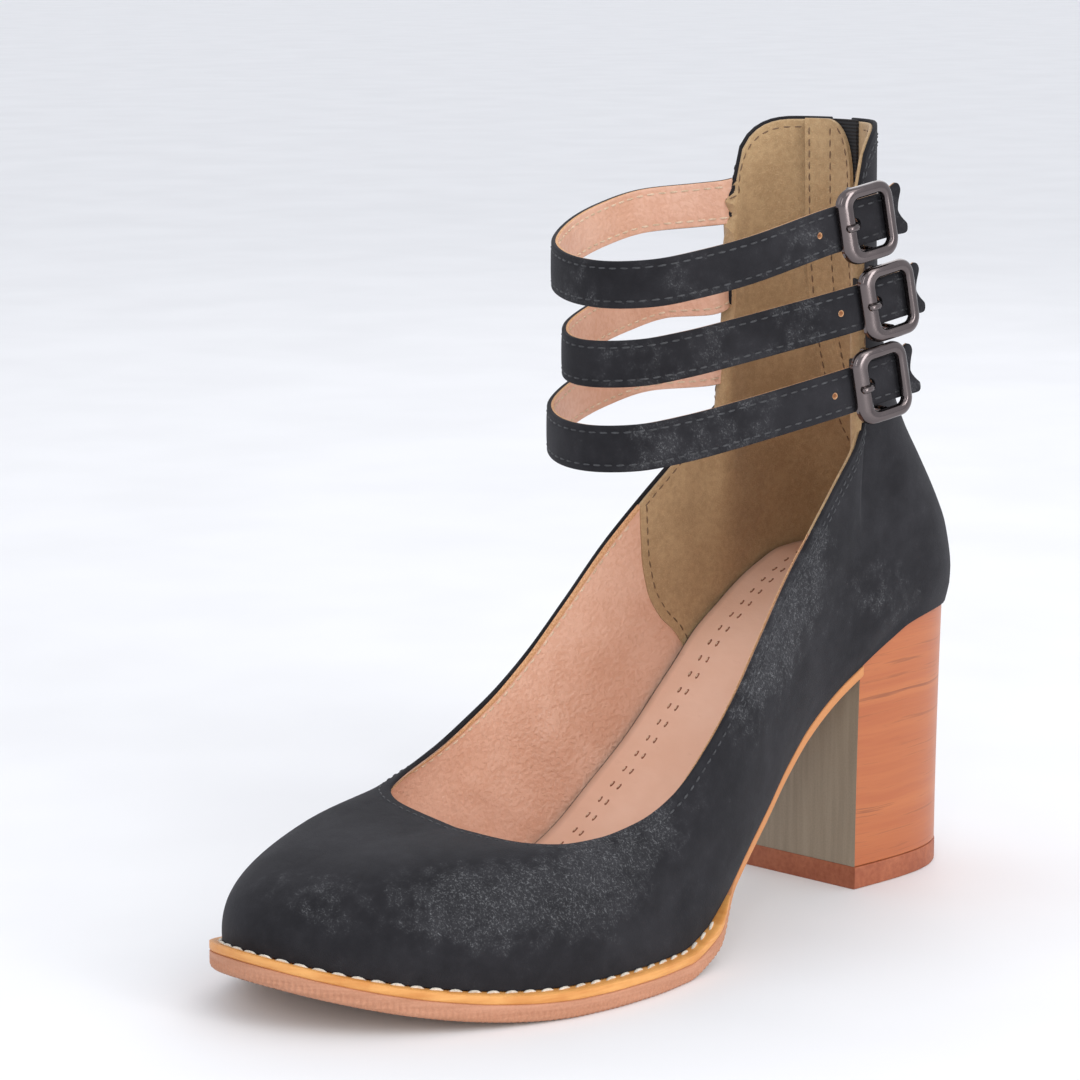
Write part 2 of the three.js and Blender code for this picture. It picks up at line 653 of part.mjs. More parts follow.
// One row for each strap: heights are shares of the shaft's, reach and buckleAhead of the shoe's length,
// buckleOut of the ball width, skew of the loop's half width, setOff of the wall and tail of the buckle's length
const strapTable = [
  { name: 'top', up: 0.890, fall: -0.20, reach: 0.3084, skew: 0, bulge: 1.00, setOff: -0.167,
    buckleAhead: 0.0450, buckleOut: 0.3458, buckleUp: 0.883, tail: 0.765, tailUp: 0.047 },
  { name: 'middle', up: 0.779, fall: -0.17, reach: 0.3041, skew: -0.176, bulge: 0.66, setOff: 1.722,
    buckleAhead: 0.0107, buckleOut: 0.3576, buckleUp: 0.783, tail: 0.706, tailUp: 0.029 },
  { name: 'lower', up: 0.681, fall: -0.17, reach: 0.3191, skew: -0.088, bulge: 0.87, setOff: 0.611,
    buckleAhead: 0.0236, buckleOut: 0.3634, buckleUp: 0.681, tail: 0.735, tailUp: 0.047 },
];
const strapZ = (strap, x) => strap.up * shaftTop + strap.fall * (x - shaftFront);

// Point just forward of the shaft's front edge, clear of all of it over a band's width
function shaftEdge(z, width, side, clearance) {
  const walks = Array.from({ length: 60 }, (_, i) => mix(backShare, 0.45, i / 59));
  const places = walks.flatMap((walk) => [0.84, 0.93, 1].map((rise) => [walk, rise]));
  const corners = places.flatMap(([walk, rise]) => [0, wall].map((depth) => skinAt(walk, rise, side, depth)));
  const fronts = corners.filter((point) => Math.abs(point.z - z) < width).map((point) => point.x);
  return new THREE.Vector3(Math.max(...fronts) + clearance, side * (shaftHalfWidth - wall / 2), z);
}

// Turning frame of a buckle: X along the strap to its tail, Y up across it, Z out of the shoe
function buckleFrame(strap) {
  const along = new THREE.Vector3(-Math.cos(buckleTurn), Math.sin(buckleTurn), buckleRise);
  along.normalize();
  const up = new THREE.Vector3(0, 0, 1).addScaledVector(along, -along.z).normalize();
  const out = new THREE.Vector3().crossVectors(along, up);
  const centre = new THREE.Vector3(
    shaftFront + strap.buckleAhead * shoeLength,
    strap.buckleOut * ballWidth,
    strap.buckleUp * shaftTop,
  );
  return new THREE.Matrix4().makeBasis(along, up, out).setPosition(centre);
}

function strapPath(strap, frame) {
  const start = shaftEdge(strap.up * shaftTop, strapWidth, -1, strap.setOff * wall);
  const loop = loopPlan.map(({ reach, across }) => {
    const x = shaftFront + reach * strap.reach * shoeLength;
    const y = (across * (across < 0 ? strap.bulge : 1) + strap.skew * ease(reach / 0.2)) * loopHalfWidth;
    return new THREE.Vector3(x, y, strapZ(strap, x));
  });
  const straight = [-0.62, -0.3, 0, 0.3, 0.55].map((share) => (
    new THREE.Vector3(share * buckleLength, 0, 0).applyMatrix4(frame)
  ));
  const tail = new THREE.Vector3(strap.tail, strap.tailUp, 0).multiplyScalar(buckleLength).applyMatrix4(frame);
  return [start, ...loop, ...straight, tail];
}

const railLow = strapThickness / 2 + gap;
const barOut = -(strapThickness / 2 + 2.9 * gap + elasticThickness + barRadius);
const prongStart = -(barRadius + gap + prongRadius);

// Straight pin across a strap or its elastic, in the buckle's frame
function punch(x, y, radius, frame) {
  const tool = new THREE.CylinderGeometry(radius, radius, strapThickness * 4, 12);
  return tool.rotateX(Math.PI / 2).translate(x, y, 0).applyMatrix4(frame);
}

function makeStrap(strap, frame) {
  const band = ribbon(strapPath(strap, frame), strapWidth, strapThickness, 42, true);
  const holes = [punch(prongStart * 1.37, 0, prongHole / 2, frame)];
  const share = nearestOn(band.path, new THREE.Vector3(-punchSpacing, 0, 0).applyMatrix4(frame));
  const along = band.path.getTangentAt(share);
  const up = new THREE.Vector3(0, 0, 1).addScaledVector(along, -along.z).normalize();
  const turned = new THREE.Matrix4().makeBasis(along, up, new THREE.Vector3().crossVectors(along, up));
  holes.push(punch(0, 0, punchRadius, turned.setPosition(band.path.getPointAt(share))));
  return cut(band.geometry, ...holes);
}

function roundedOutline(path, halfX, halfY, radius) {
  path.moveTo(-halfX + radius, -halfY);
  path.lineTo(halfX - radius, -halfY);
  path.absarc(halfX - radius, -halfY + radius, radius, -Math.PI / 2, 0, false);
  path.lineTo(halfX, halfY - radius);
  path.absarc(halfX - radius, halfY - radius, radius, 0, Math.PI / 2, false);
  path.lineTo(-halfX + radius, halfY);
  path.absarc(-halfX + radius, halfY - radius, radius, Math.PI / 2, Math.PI, false);
  path.lineTo(-halfX, -halfY + radius);
  path.absarc(-halfX + radius, -halfY + radius, radius, Math.PI, Math.PI * 1.5, false);
  return path;
}

// Frame plate over the strap, two ears beside it and the bar under it
function makeBuckle() {
  const outline = roundedOutline(new THREE.Shape(), buckleLength / 2, buckleHeight / 2, buckleCorner);
  const [windowX, windowY] = [buckleLength / 2 - buckleRail, buckleHeight / 2 - buckleRail * 0.85];
  outline.holes.push(roundedOutline(new THREE.Path(), windowX, windowY, buckleCorner - buckleRail));
  const plateShape = new THREE.ExtrudeGeometry(outline, {
    depth: buckleDepth - 2 * buckleBevel,
    bevelThickness: buckleBevel,
    bevelSize: buckleBevel,
    bevelOffset: -buckleBevel,
    bevelSegments: 1,
    curveSegments: 3,
  });
  plateShape.translate(0, 0, railLow + buckleBevel);
  const earHigh = railLow + buckleDepth / 2;
  const earLow = barOut - barRadius;
  const [earInner, earOuter] = [strapWidth / 2 + gap, buckleHeight / 2 - buckleBevel];
  const ears = [-1, 1].map((end) => {
    const ear = new THREE.BoxGeometry(barRadius * 4, earOuter - earInner, earHigh - earLow);
    return ear.translate(0, end * (earInner + earOuter) / 2, (earLow + earHigh) / 2);
  });
  const bar = new THREE.CylinderGeometry(barRadius, barRadius, earInner + earOuter, 10);
  bar.translate(0, 0, barOut);
  return joined(plateShape, ...ears, bar);
}

// Wire that comes up from the bar through the strap and rests on the forward rail
function makeProng() {
  const railMiddle = buckleRail / 2 - buckleLength / 2;
  const top = railLow + buckleDepth + 1.5 * gap + prongRadius;
  const points = [
    [prongStart, barOut],
    [prongStart * 1.15, barOut * 0.35],
    [prongStart * 1.5, railLow * 0.6],
    [railMiddle * 0.62, top * 0.72],
    [railMiddle * 0.9, top],
    [railMiddle - prongTip, top - prongRadius * 0.3],
  ].map(([x, z]) => new THREE.Vector3(x, 0, z));
  return wire(points, prongRadius, 11, 6);
}

// Round wire along a path, its far end drawn in to a blunt tip
function wire(points, radius, samples, around) {
  const path = new THREE.CatmullRomCurve3(points, false, 'centripetal');
  const sideways = new THREE.Vector3(0, 1, 0);
  const rings = Array.from({ length: samples + 1 }, (_, i) => {
    const t = i / samples;
    const along = path.getTangentAt(t);
    const normal = new THREE.Vector3().crossVectors(along, sideways).normalize();
    const size = radius * (i === samples ? 0.55 : 1);
    return Array.from({ length: around }, (_, k) => {
      const angle = ((k + 0.5) / around) * Math.PI * 2;
      return path.getPointAt(t)
        .addScaledVector(sideways, Math.cos(angle) * size)
        .addScaledVector(normal, Math.sin(angle) * size);
    });
  });
  return lofted(rings);
}

// Webbing from the lateral shaft edge that turns back over the buckle's bar, slit for the prong
function makeElastic(strap, frame) {
  const start = shaftEdge(strap.buckleUp * shaftTop, elasticWidth, 1, 2 * gap);
  const layer = -(strapThickness / 2 + 1.6 * gap + elasticThickness / 2);
  const overBar = (x) => new THREE.Vector3(x, 0, layer).applyMatrix4(frame);
  const bend = overBar(-elasticTurn);
  const inside = new THREE.Vector3(-elasticTurn * 0.9, 0, barOut - barRadius - elasticTurn * 0.35).applyMatrix4(frame);
  const points = [start, start.clone().lerp(inside, 0.5), inside, bend, overBar(-elasticTurn * 0.4), overBar(elasticTurn * 0.5)];
  const band = ribbon(points, elasticWidth, elasticThickness, 17, false).geometry;
  const slit = new THREE.BoxGeometry(elasticTurn * 2, prongHole, 6 * elasticThickness);
  slit.translate(-elasticTurn * 1.1, 0, layer).applyMatrix4(frame);
  return cut(band, slit);
}

// Zip parts in the slot; their own frame has X out of the back, Y across and Z up the seam
const tapeFoot = Math.max(slotFoot - tapeOverlap, seatHeight + insoleRise + 2 * gap);
function makeTape() {
  const top = shaftTop - gap;
  const tape = backStrip({
    width: tapeWidth,
    lowZ: tapeFoot,
    highZ: top,
    nearDepth: wall + 1.5 * gap,
    farDepth: wall + 1.5 * gap + tapeThickness,
  });
  const teeth = backStrip({
    width: teethWidth,
    lowZ: slotFoot + 5 * gap,
    highZ: top,
    nearDepth: teethDepth,
    farDepth: wall + gap + tapeThickness / 2,
  });
  return joined(tape, teeth);
}

function makeGuard() {
  const near = wall + tapeThickness + 2.5 * gap;
  return backStrip({
    width: guardWidth,
    lowZ: tapeFoot,
    highZ: shaftTop - gap,
    nearDepth: near,
    farDepth: near + guardThickness,
    shift: guardShift,
  });
}

const sliderZ = shaftTop * sliderUp;
const bridgeOut = sliderThickness + 2 * pullEyeRadius + 2 * pullPlay;
const pullAxisOut = sliderThickness + pullPlay + pullEyeRadius;
const pullAxisZ = -sliderLength * 0.2;

function sliderFrame() {
  const seam = backPoint(0, sliderZ, 1);
  return new THREE.Matrix4().makeTranslation(seam.x - gap, 0, sliderZ);
}

// Slider plate outside the teeth, with an upright bridge for the pull
function makeSlider() {
  const block = (width, low, high, from, to) => {
    const box = new THREE.BoxGeometry(to - from, width, high - low);
    return box.translate(-(from + to) / 2, 0, (low + high) / 2);
  };
  const half = sliderLength / 2;
  const base = block(sliderWidth, -half, half, 0, sliderThickness);
  const postEnd = half * 0.85;
  const postStart = postEnd - bridgeWidth;
  const outer = bridgeOut + bridgeWidth * 0.8;
  const lowPost = block(bridgeWidth, -postEnd, -postStart, sliderThickness / 2, outer);
  const highPost = block(bridgeWidth, postStart, postEnd, sliderThickness / 2, outer);
  const beam = block(bridgeWidth, -postEnd, postEnd, bridgeOut, outer);
  return joined(base, lowPost, highPost, beam).applyMatrix4(sliderFrame());
}

// Drop shaped pull: an eye bar through the bridge, two arms and a rounded tab, hanging down
function makePull() {
  const bar = new THREE.CylinderGeometry(pullEyeRadius, pullEyeRadius, pullWidth * 0.66, 10);
  const shape = new THREE.Shape();
  const eye = pullWidth * 0.33;
  const shoulder = -(pullEyeLength + pullEyeRadius * 2);
  const tip = pullWidth / 2;
  shape.moveTo(-eye, 0);
  shape.lineTo(-eye, shoulder);
  shape.lineTo(-tip, -pullLength + tip);
  shape.absarc(0, -pullLength + tip, tip, Math.PI, Math.PI * 2, false);
  shape.lineTo(eye, shoulder);
  shape.lineTo(eye, 0);
  shape.closePath();
  const window = new THREE.Path();
  const inner = bridgeWidth / 2 + pullPlay;
  window.moveTo(-inner, -pullEyeRadius * 0.6);
  window.lineTo(inner, -pullEyeRadius * 0.6);
  window.lineTo(inner, -pullEyeLength);
  window.lineTo(-inner, -pullEyeLength);
  window.closePath();
  shape.holes.push(window);
  const thickness = pullEyeRadius * 1.4;
  const tab = new THREE.ExtrudeGeometry(shape, { depth: thickness, bevelEnabled: false, curveSegments: 8 });
  tab.translate(0, 0, -thickness / 2);
  const upright = new THREE.Matrix4().makeBasis(
    new THREE.Vector3(0, 1, 0), new THREE.Vector3(0, 0, 1), new THREE.Vector3(1, 0, 0),
  );
  tab.applyMatrix4(upright);
  const pull = joined(tab, bar);
  pull.rotateY(degrees(pullLean));
  return pull.translate(-pullAxisOut, 0, pullAxisZ).applyMatrix4(sliderFrame());
}

const root = new THREE.Group();
function addPiece(name, geometry, look) {
  geometry.computeVertexNormals();
  const mesh = new THREE.Mesh(geometry, new THREE.MeshStandardMaterial(looks[look]));
  mesh.name = name;
  root.add(mesh);
  return mesh;
}

addPiece('upper', makeUpper(), 'suede');
addPiece('insole', makeInsole(), 'insole');
addPiece('welt', makeWelt(), 'welt');
addPiece('outsole', makeOutsole(), 'outsole');
addPiece('heel_block', makeHeelBlock(), 'stackedWood');
addPiece('top_lift', makeTopLift(), 'lift');
for (const strap of strapTable) {
  const frame = buckleFrame(strap);
  addPiece(`strap_${strap.name}`, makeStrap(strap, frame), 'suede');
  addPiece(`elastic_${strap.name}`, makeElastic(strap, frame), 'webbing');
  for (const [part, geometry] of [['frame', makeBuckle()], ['prong', makeProng()]]) {
    addPiece(`buckle_${part}_${strap.name}`, geometry, 'gunmetal').applyMatrix4(frame);
  }
}
addPiece('zip_tape', makeTape(), 'webbing');
addPiece('zip_guard', makeGuard(), 'guard');
addPiece('zip_slider', makeSlider(), 'gunmetal');
addPiece('zip_pull', makePull(), 'gunmetal');

export default root;
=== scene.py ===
# Left ankle-strap pump on a wood-look block heel: +X to the toe, +Y to the buckle side, +Z up
import math
import random
import bmesh
import bpy
import numpy as np
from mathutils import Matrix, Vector


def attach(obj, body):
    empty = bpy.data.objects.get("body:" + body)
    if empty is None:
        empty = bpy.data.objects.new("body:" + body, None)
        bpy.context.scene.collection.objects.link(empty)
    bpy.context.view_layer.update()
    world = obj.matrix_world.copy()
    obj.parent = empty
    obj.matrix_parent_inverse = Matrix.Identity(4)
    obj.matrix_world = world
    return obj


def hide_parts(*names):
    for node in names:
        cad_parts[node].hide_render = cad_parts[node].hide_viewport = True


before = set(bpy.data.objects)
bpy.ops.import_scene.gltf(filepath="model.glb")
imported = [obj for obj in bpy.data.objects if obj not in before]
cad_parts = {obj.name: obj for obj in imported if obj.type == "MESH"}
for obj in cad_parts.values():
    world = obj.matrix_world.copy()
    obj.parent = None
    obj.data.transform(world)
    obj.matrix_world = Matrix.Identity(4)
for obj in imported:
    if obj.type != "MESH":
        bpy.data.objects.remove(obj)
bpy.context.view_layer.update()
dice = random.Random(11)
print("frame loaded:", len(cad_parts), "nodes")


# ---- small sums ----
def mix(a, b, t):
    return a + (b - a) * t


def clamp01(t):
    return np.clip(t, 0.0, 1.0)


def ease(t):
    t = clamp01(t)
    return t * t * (3 - 2 * t)


def unit(v):
    return v / np.maximum(np.linalg.norm(v, axis=-1, keepdims=True), 1e-12)


def xyz(x, y, z):
    return np.stack(np.broadcast_arrays(x, y, z), -1).astype(float)


def hump(t, width):
    return np.exp(-(t / width) ** 2)


def curveOf(xs, ys):  # smooth curve through a table that never overshoots its rows
    xs, ys = np.array(xs, float), np.array(ys, float)
    chord = np.diff(ys) / np.diff(xs)
    slope = np.zeros(len(xs))
    slope[0], slope[-1] = chord[0], chord[-1]
    before, after = chord[:-1], chord[1:]
    same = before * after > 0
    slope[1:-1][same] = (2 * before * after / np.where(same, before + after, 1))[same]

    def at(x):
        x = np.asarray(x, float)
        i = np.clip(np.searchsorted(xs, x, "right") - 1, 0, len(xs) - 2)
        span = xs[i + 1] - xs[i]
        t = clamp01((x - xs[i]) / span)
        rise = ys[i] * (2 * t**3 - 3 * t**2 + 1) + ys[i + 1] * (3 * t**2 - 2 * t**3)
        return rise + span * (slope[i] * (t**3 - 2 * t**2 + t) + slope[i + 1] * (t**3 - t**2))

    return at


# ---- the last ----
last = {"length": 233.5, "ballWidth": 85.3, "seatHeight": 71.5, "toeSpring": 10.5, "toeShift": 13.0,
        "springStart": 0.73, "springPower": 2.2, "seatPower": 2.6, "gap": 0.3}
heel = {"length": 48.0, "halfWidth": 21.0, "flare": 0.8, "lift": 6.0, "overhang": 1.5, "cornerRound": 0.5}
sole = {"thickness": 4.4, "waist": 2.8, "welt": 2.1, "stand": 3.0, "edgeRound": 0.9, "ribPitch": 1.5, "ribDepth": 0.3}
toePower = {1: 1.25, -1: 2.4}

breast = heel["length"] / 2
backX = -breast - heel["overhang"]
toeX = backX + last["length"]
seatMiddle = breast * 0.25
gap = last["gap"]


def stationX(share):
    return backX + share * last["length"]


def shareAt(x):
    return (x - backX) / last["length"]


toeArcStart = stationX(0.753)
forepartHeight = sole["thickness"] + sole["welt"] + 2 * gap
bottomRise = curveOf(
    [0, .075, .127, .170, .217, .281, .341, .393, .444, .504, .556, .6, 1],
    [1, .992, .966, .905, .823, .693, .531, .386, .262, .124, .036, 0, 0])
planStations = [.135, .212, .255, .303, .350, .401, .453, .504, .556, .607, .659, .702, .753]
planWidth = {
    1: curveOf(planStations, [.267, .258, .252, .253, .270, .305, .345, .388, .427, .452, .464, .460, .440]),
    -1: curveOf(planStations, [.267, .258, .246, .246, .256, .273, .303, .345, .400, .453, .497, .516, .516])}


def featherZ(x):
    share = shareAt(np.asarray(x, float))
    late = np.maximum(0, (share - last["springStart"]) / (1 - last["springStart"]))
    spring = last["toeSpring"] * late ** last["springPower"]
    return forepartHeight + (last["seatHeight"] - forepartHeight) * bottomRise(share) + spring


def edgeY(x, side, grow=0.0):  # feather edge from above, moved out by grow
    x = np.asarray(x, float)
    wide, ball = planWidth[side], last["ballWidth"]
    t = clamp01((seatMiddle - x) / (seatMiddle - backX + grow))
    seat = side * (wide(shareAt(seatMiddle)) * ball + grow) * np.sqrt(1 - t ** last["seatPower"])
    half = wide(np.minimum(shareAt(x), shareAt(toeArcStart))) * ball + grow
    s = clamp01((x - toeArcStart) / (toeX - toeArcStart + grow))
    fore = -last["toeShift"] + (side * half + last["toeShift"]) * np.sqrt(1 - s ** toePower[side])
    return np.where(x < seatMiddle, seat, np.where(x <= toeArcStart, side * half, fore))


# ---- skin of the upper ----
shaft = {"top": 199.5, "front": 27.5, "halfWidth": 21.0, "corner": 15.5, "wall": 1.8,
         "slotHalf": 3.5, "slotFoot": 93.0}
backUp = [.358, .383, .416, .461, .501, .556, .607, .657, .707, .777, .852, 1.0]
backCurve = {
    "middle": curveOf(backUp, [.135, .137, .140, .148, .157, .176, .193, .206, .216, .223, .227, .227]),
    "back": curveOf(backUp, [0, -.004, -.002, .007, .023, .052, .082, .105, .120, .132, .139, .143]),
    "half": curveOf(backUp, [.267, .285, .296, .296, .288, .276, .267, .260, .256, .254, .252, .252]),
    "power": curveOf(backUp, [2.6, 2.5, 2.4, 2.3, 2.2, 2.1, 2.0, 2.0, 2.0, 2.0, 2.0, 2.0])}
sideColumns = {
    "foot": [0, .034, .068, .097, .131, .175, .228, .287, .345, .403, .457, .510, .569, .632, .700, .800, .900, 1.0],
    "rim": [.227, .227, .227, .229, .249, .290, .341, .393, .448, .496, .543, .590, .637, .685, .721, .745, .751, .752],
    "lateral": [.252, .257, .268, .286, .305, .324, .346, .366, .389, .410, .422, .412, .374, .343, .310, .205, .095,
                -.023],
    "medial": [.252, .252, .257, .274, .305, .324, .346, .366, .389, .410, .420, .415, .405, .392, .365, .270, .140,
               .023],
    "lateralUp": [.922, .817, .717, .643, .603, .560, .509, .455, .388, .331, .281, .232, .200, .189, .187, .186,
                  .187, .188],
    "medialUp": [.922, .817, .717, .645, .606, .563, .513, .460, .393, .336, .294, .266, .242, .222, .208, .200,
                 .194, .188],
    "dome": [0, 0, 0, 0, 0, 0, 0, 0, .1, .15, .25, .4, .55, .7, .85, 1, 1, 1],
    "belly": [0, .5, 1, 1.5, 2, 2.4, 2.6, 2.8, 2.8, 2.6, 2.2, 1.8, 1.4, 1.0, .6, .4, .4, .4]}
rowCount = len(sideColumns["foot"]) - 1
sideCurve = {key: curveOf(range(rowCount + 1), values) for key, values in sideColumns.items()}
backShare = 0.2
footArcStart = 0.7
domeFullness = 0.72
toePuff = 2.0
widthScale = shaft["halfWidth"] / (.252 * last["ballWidth"])
frontShift = shaft["front"] - stationX(.227)


def backPoint(turn, z, side):  # turn 0 on the back seam, 1 at the side
    up = z / shaft["top"]
    share = ease((up - .45) / .25)
    middle = stationX(backCurve["middle"](up)) + frontShift * share
    back = stationX(backCurve["back"](up)) + frontShift * share
    half = backCurve["half"](up) * last["ballWidth"] * mix(1, widthScale, share)
    along = np.cos(turn * math.pi / 2)
    y = side * half * np.sqrt(np.maximum(0, 1 - along ** backCurve["power"](up)))
    return xyz(middle - (middle - back) * along, y, z)


def turnAt(y, z):  # turn at which the back's section is y wide
    up = z / shaft["top"]
    half = backCurve["half"](up) * last["ballWidth"] * mix(1, widthScale, ease((up - .45) / .25))
    power = backCurve["power"](up)
    return np.arccos((1 - (y / half) ** power) ** (1 / power)) / (math.pi / 2)


def shaftTopZ(x):
    into = clamp01((x - (shaft["front"] - shaft["corner"])) / shaft["corner"])
    return shaft["top"] - shaft["corner"] * (1 - np.sqrt(1 - into**2))


def footX(foot):
    arc = np.sin(clamp01((foot - footArcStart) / (1 - footArcStart)) * math.pi / 2)
    return np.where(foot <= footArcStart, mix(seatMiddle, toeArcStart, foot / footArcStart),
                    mix(toeArcStart, toeX, arc))


def footOut(foot, side):
    a, b = footX(np.maximum(0, foot - .01)), footX(np.minimum(1, foot + .01))
    dx, dy = b - a, edgeY(b, side) - edgeY(a, side)
    size = np.maximum(np.hypot(dx, dy), 1e-9)
    tip = foot > .99
    return np.where(tip, 1.0, -side * dy / size), np.where(tip, 0.0, side * dx / size)


def skin(walk, rise, side):  # walk 0 on the back seam, 1 at the toe; rise 0 at the feather edge, 1 at the topline
    walk, rise = np.broadcast_arrays(np.asarray(walk, float), np.asarray(rise, float))
    turn = clamp01(walk / backShare)
    rimX = backPoint(turn, shaft["top"], side)[..., 0]
    seatX = backPoint(turn, last["seatHeight"], side)[..., 0]
    back = backPoint(turn, mix(featherZ(seatX), shaftTopZ(rimX), rise), side)
    row = clamp01((walk - backShare) / (1 - backShare)) * rowCount
    value = {key: curve(row) for key, curve in sideCurve.items()}
    name = "lateral" if side > 0 else "medial"
    x = footX(value["foot"])
    near = 1 - ease(row / 4)
    foot = xyz(x, edgeY(x, side), featherZ(x))
    rim = xyz(stationX(value["rim"]) + frontShift * near,
              side * value[name] * last["ballWidth"] * mix(1, widthScale, near),
              np.where(row < 1e-9, shaft["top"] - shaft["corner"], value[name + "Up"] * shaft["top"]))
    dome = value["dome"]
    inward = mix(rise, 1 - np.cos(rise * math.pi / 2), dome)
    upward = mix(rise, np.sin(clamp01(rise) * math.pi / 2) ** mix(1, domeFullness, dome), dome)
    ox, oy = footOut(value["foot"], side)
    bulge = value["belly"] * np.sin(math.pi * clamp01(rise) ** .75)
    point = xyz(mix(foot[..., 0], rim[..., 0], inward) + ox * bulge,
                mix(foot[..., 1], rim[..., 1], inward) + oy * bulge,
                mix(foot[..., 2], rim[..., 2], upward) + toePuff * dome * np.sin(math.pi * rise))
    start = backPoint(1.0, featherZ(seatMiddle), side)
    end = backPoint(1.0, shaft["top"] - shaft["corner"], side)
    bowed = backPoint(1.0, mix(start[2], end[2], rise), side)
    fade = (1 - ease(row / 6))[..., None]
    point = point + (bowed - (start + (end - start) * rise[..., None])) * fade
    return np.where((walk <= backShare)[..., None], back, point)


def skinNormal(walk, rise, side):
    walk, rise = np.broadcast_arrays(np.asarray(walk, float), np.asarray(rise, float))
    step = .004
    across = skin(np.minimum(1, walk + step), rise, side) - skin(np.maximum(0, walk - step), rise, side)
    up = skin(walk, np.minimum(1, rise + step), side) - skin(walk, np.maximum(0, rise - step), side)
    normal = unit(np.cross(up, across) * side)
    flat = (walk < 1e-6) | ((walk > 1 - 1e-6) & (rise < .5))
    normal[..., 1] = np.where(flat, 0, normal[..., 1])
    return unit(normal)


def skinAt(walk, rise, side, depth):
    walk, rise = np.broadcast_arrays(np.asarray(walk, float), np.asarray(rise, float))
    point, normal = skin(walk, rise, side), skinNormal(walk, rise, side)
    bottom = rise < 1e-9
    normal[..., 2] = np.where(bottom, 0, normal[..., 2])
    point = point - unit(normal) * np.asarray(depth, float)[..., None]
    point[..., 2] = np.where(bottom, featherZ(point[..., 0]), point[..., 2])
    return point


def risesBelow(walk, side, distances):  # rise of each column at distances below the topline, measured on the skin
    fine = np.linspace(1, 0, 161)
    line = skin(np.asarray(walk)[:, None], fine[None, :], side)
    run = np.concatenate([np.zeros((len(line), 1)), np.cumsum(np.linalg.norm(np.diff(line, axis=1), axis=2), 1)], 1)
    found = [np.interp(np.broadcast_to(distances, (len(line),) + np.shape(distances)[-1:])[i], run[i], fine)
             for i in range(len(line))]
    return np.array(found), run[:, -1]


# ---- making meshes ----
def makePiece(name, points, faces, looks, faceLooks=None, marks=None, body="root", slot=None, stands=(), crease=38):
    mesh = bpy.data.meshes.new(name)
    mesh.from_pydata((np.asarray(points, float) / 1000).tolist(), [], [list(map(int, f)) for f in faces])
    for key, values in (marks or {}).items():
        mesh.attributes.new(key, "FLOAT", "POINT").data.foreach_set("value", np.asarray(values, np.float32))
    for look in looks:
        mesh.materials.append(look)
    if faceLooks is not None:
        mesh.polygons.foreach_set("material_index", np.asarray(faceLooks, np.int32))
    work = bmesh.new()
    work.from_mesh(mesh)
    bmesh.ops.remove_doubles(work, verts=work.verts, dist=2e-6)
    bmesh.ops.dissolve_degenerate(work, edges=work.edges, dist=1e-6)
    bmesh.ops.recalc_face_normals(work, faces=work.faces)
    limit = math.radians(crease)
    for face in work.faces:
        face.smooth = True
    for edge in work.edges:
        edge.smooth = not (len(edge.link_faces) == 2 and edge.calc_face_angle(0) > limit)
    work.to_mesh(mesh)
    work.free()
    piece = bpy.data.objects.new(name, mesh)
    bpy.context.scene.collection.objects.link(piece)
    if stands:
        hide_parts(*stands)
    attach(piece, body)
    return piece


def gridFaces(rows, cols, closed=False):  # index of row r, column c is r * cols + c
    r, c = np.meshgrid(np.arange(rows - 1), np.arange(cols if closed else cols - 1), indexing="ij")
    n = (c + 1) % cols
    return np.stack([r * cols + c, r * cols + n, (r + 1) * cols + n, (r + 1) * cols + c], -1).reshape(-1, 4)


def tube(rings, paired=False):  # closed body through rings of points, capped by fans or, for a band, from face to face
    rings = np.asarray(rings, float)
    rows, cols = rings.shape[:2]
    if paired:
        faces, top = gridFaces(rows, cols, True).tolist(), (rows - 1) * cols
        for a in range(cols // 2 - 1):
            near, far = [a, a + 1], [cols - 2 - a, cols - 1 - a]
            faces += [(near + far)[::-1], [top + i for i in near + far]]
        return rings.reshape(-1, 3), faces
    points = np.concatenate([rings.reshape(-1, 3), rings[:1].mean(1), rings[-1:].mean(1)])
    faces = gridFaces(rows, cols, True).tolist()
    top = (rows - 1) * cols
    for c in range(cols):
        faces.append([c, rows * cols, (c + 1) % cols])
        faces.append([top + c, top + (c + 1) % cols, rows * cols + 1])
    return points, faces


def shellOf(outer, inner, quads):  # closed body between two sheets of the same faces
    quads = np.asarray(quads)
    count = len(outer)
    edges = {}
    for face in quads:
        for a, b in zip(face, np.roll(face, -1)):
            if a != b:
                edges[(a, b)] = edges.get((a, b), 0) + 1
    rim = [[b, a, a + count, b + count] for a, b in edges if (b, a) not in edges]
    faces = quads.tolist() + (quads[:, ::-1] + count).tolist() + rim
    return np.concatenate([outer, inner]), faces


def joinParts(parts):  # several (points, faces) pairs as one
    points, faces, start = [], [], 0
    for cloud, quads in parts:
        points.append(np.asarray(cloud, float))
        faces += [[start + int(i) for i in face] for face in quads]
        start += len(cloud)
    return np.concatenate(points), faces


def alongLine(line, spots):  # points of a polyline at lengths from its start
    line = np.asarray(line, float)
    run = np.concatenate([[0], np.cumsum(np.linalg.norm(np.diff(line, axis=0), axis=1))])
    return np.stack([np.interp(spots, run, line[:, k]) for k in range(line.shape[1])], -1), run[-1]


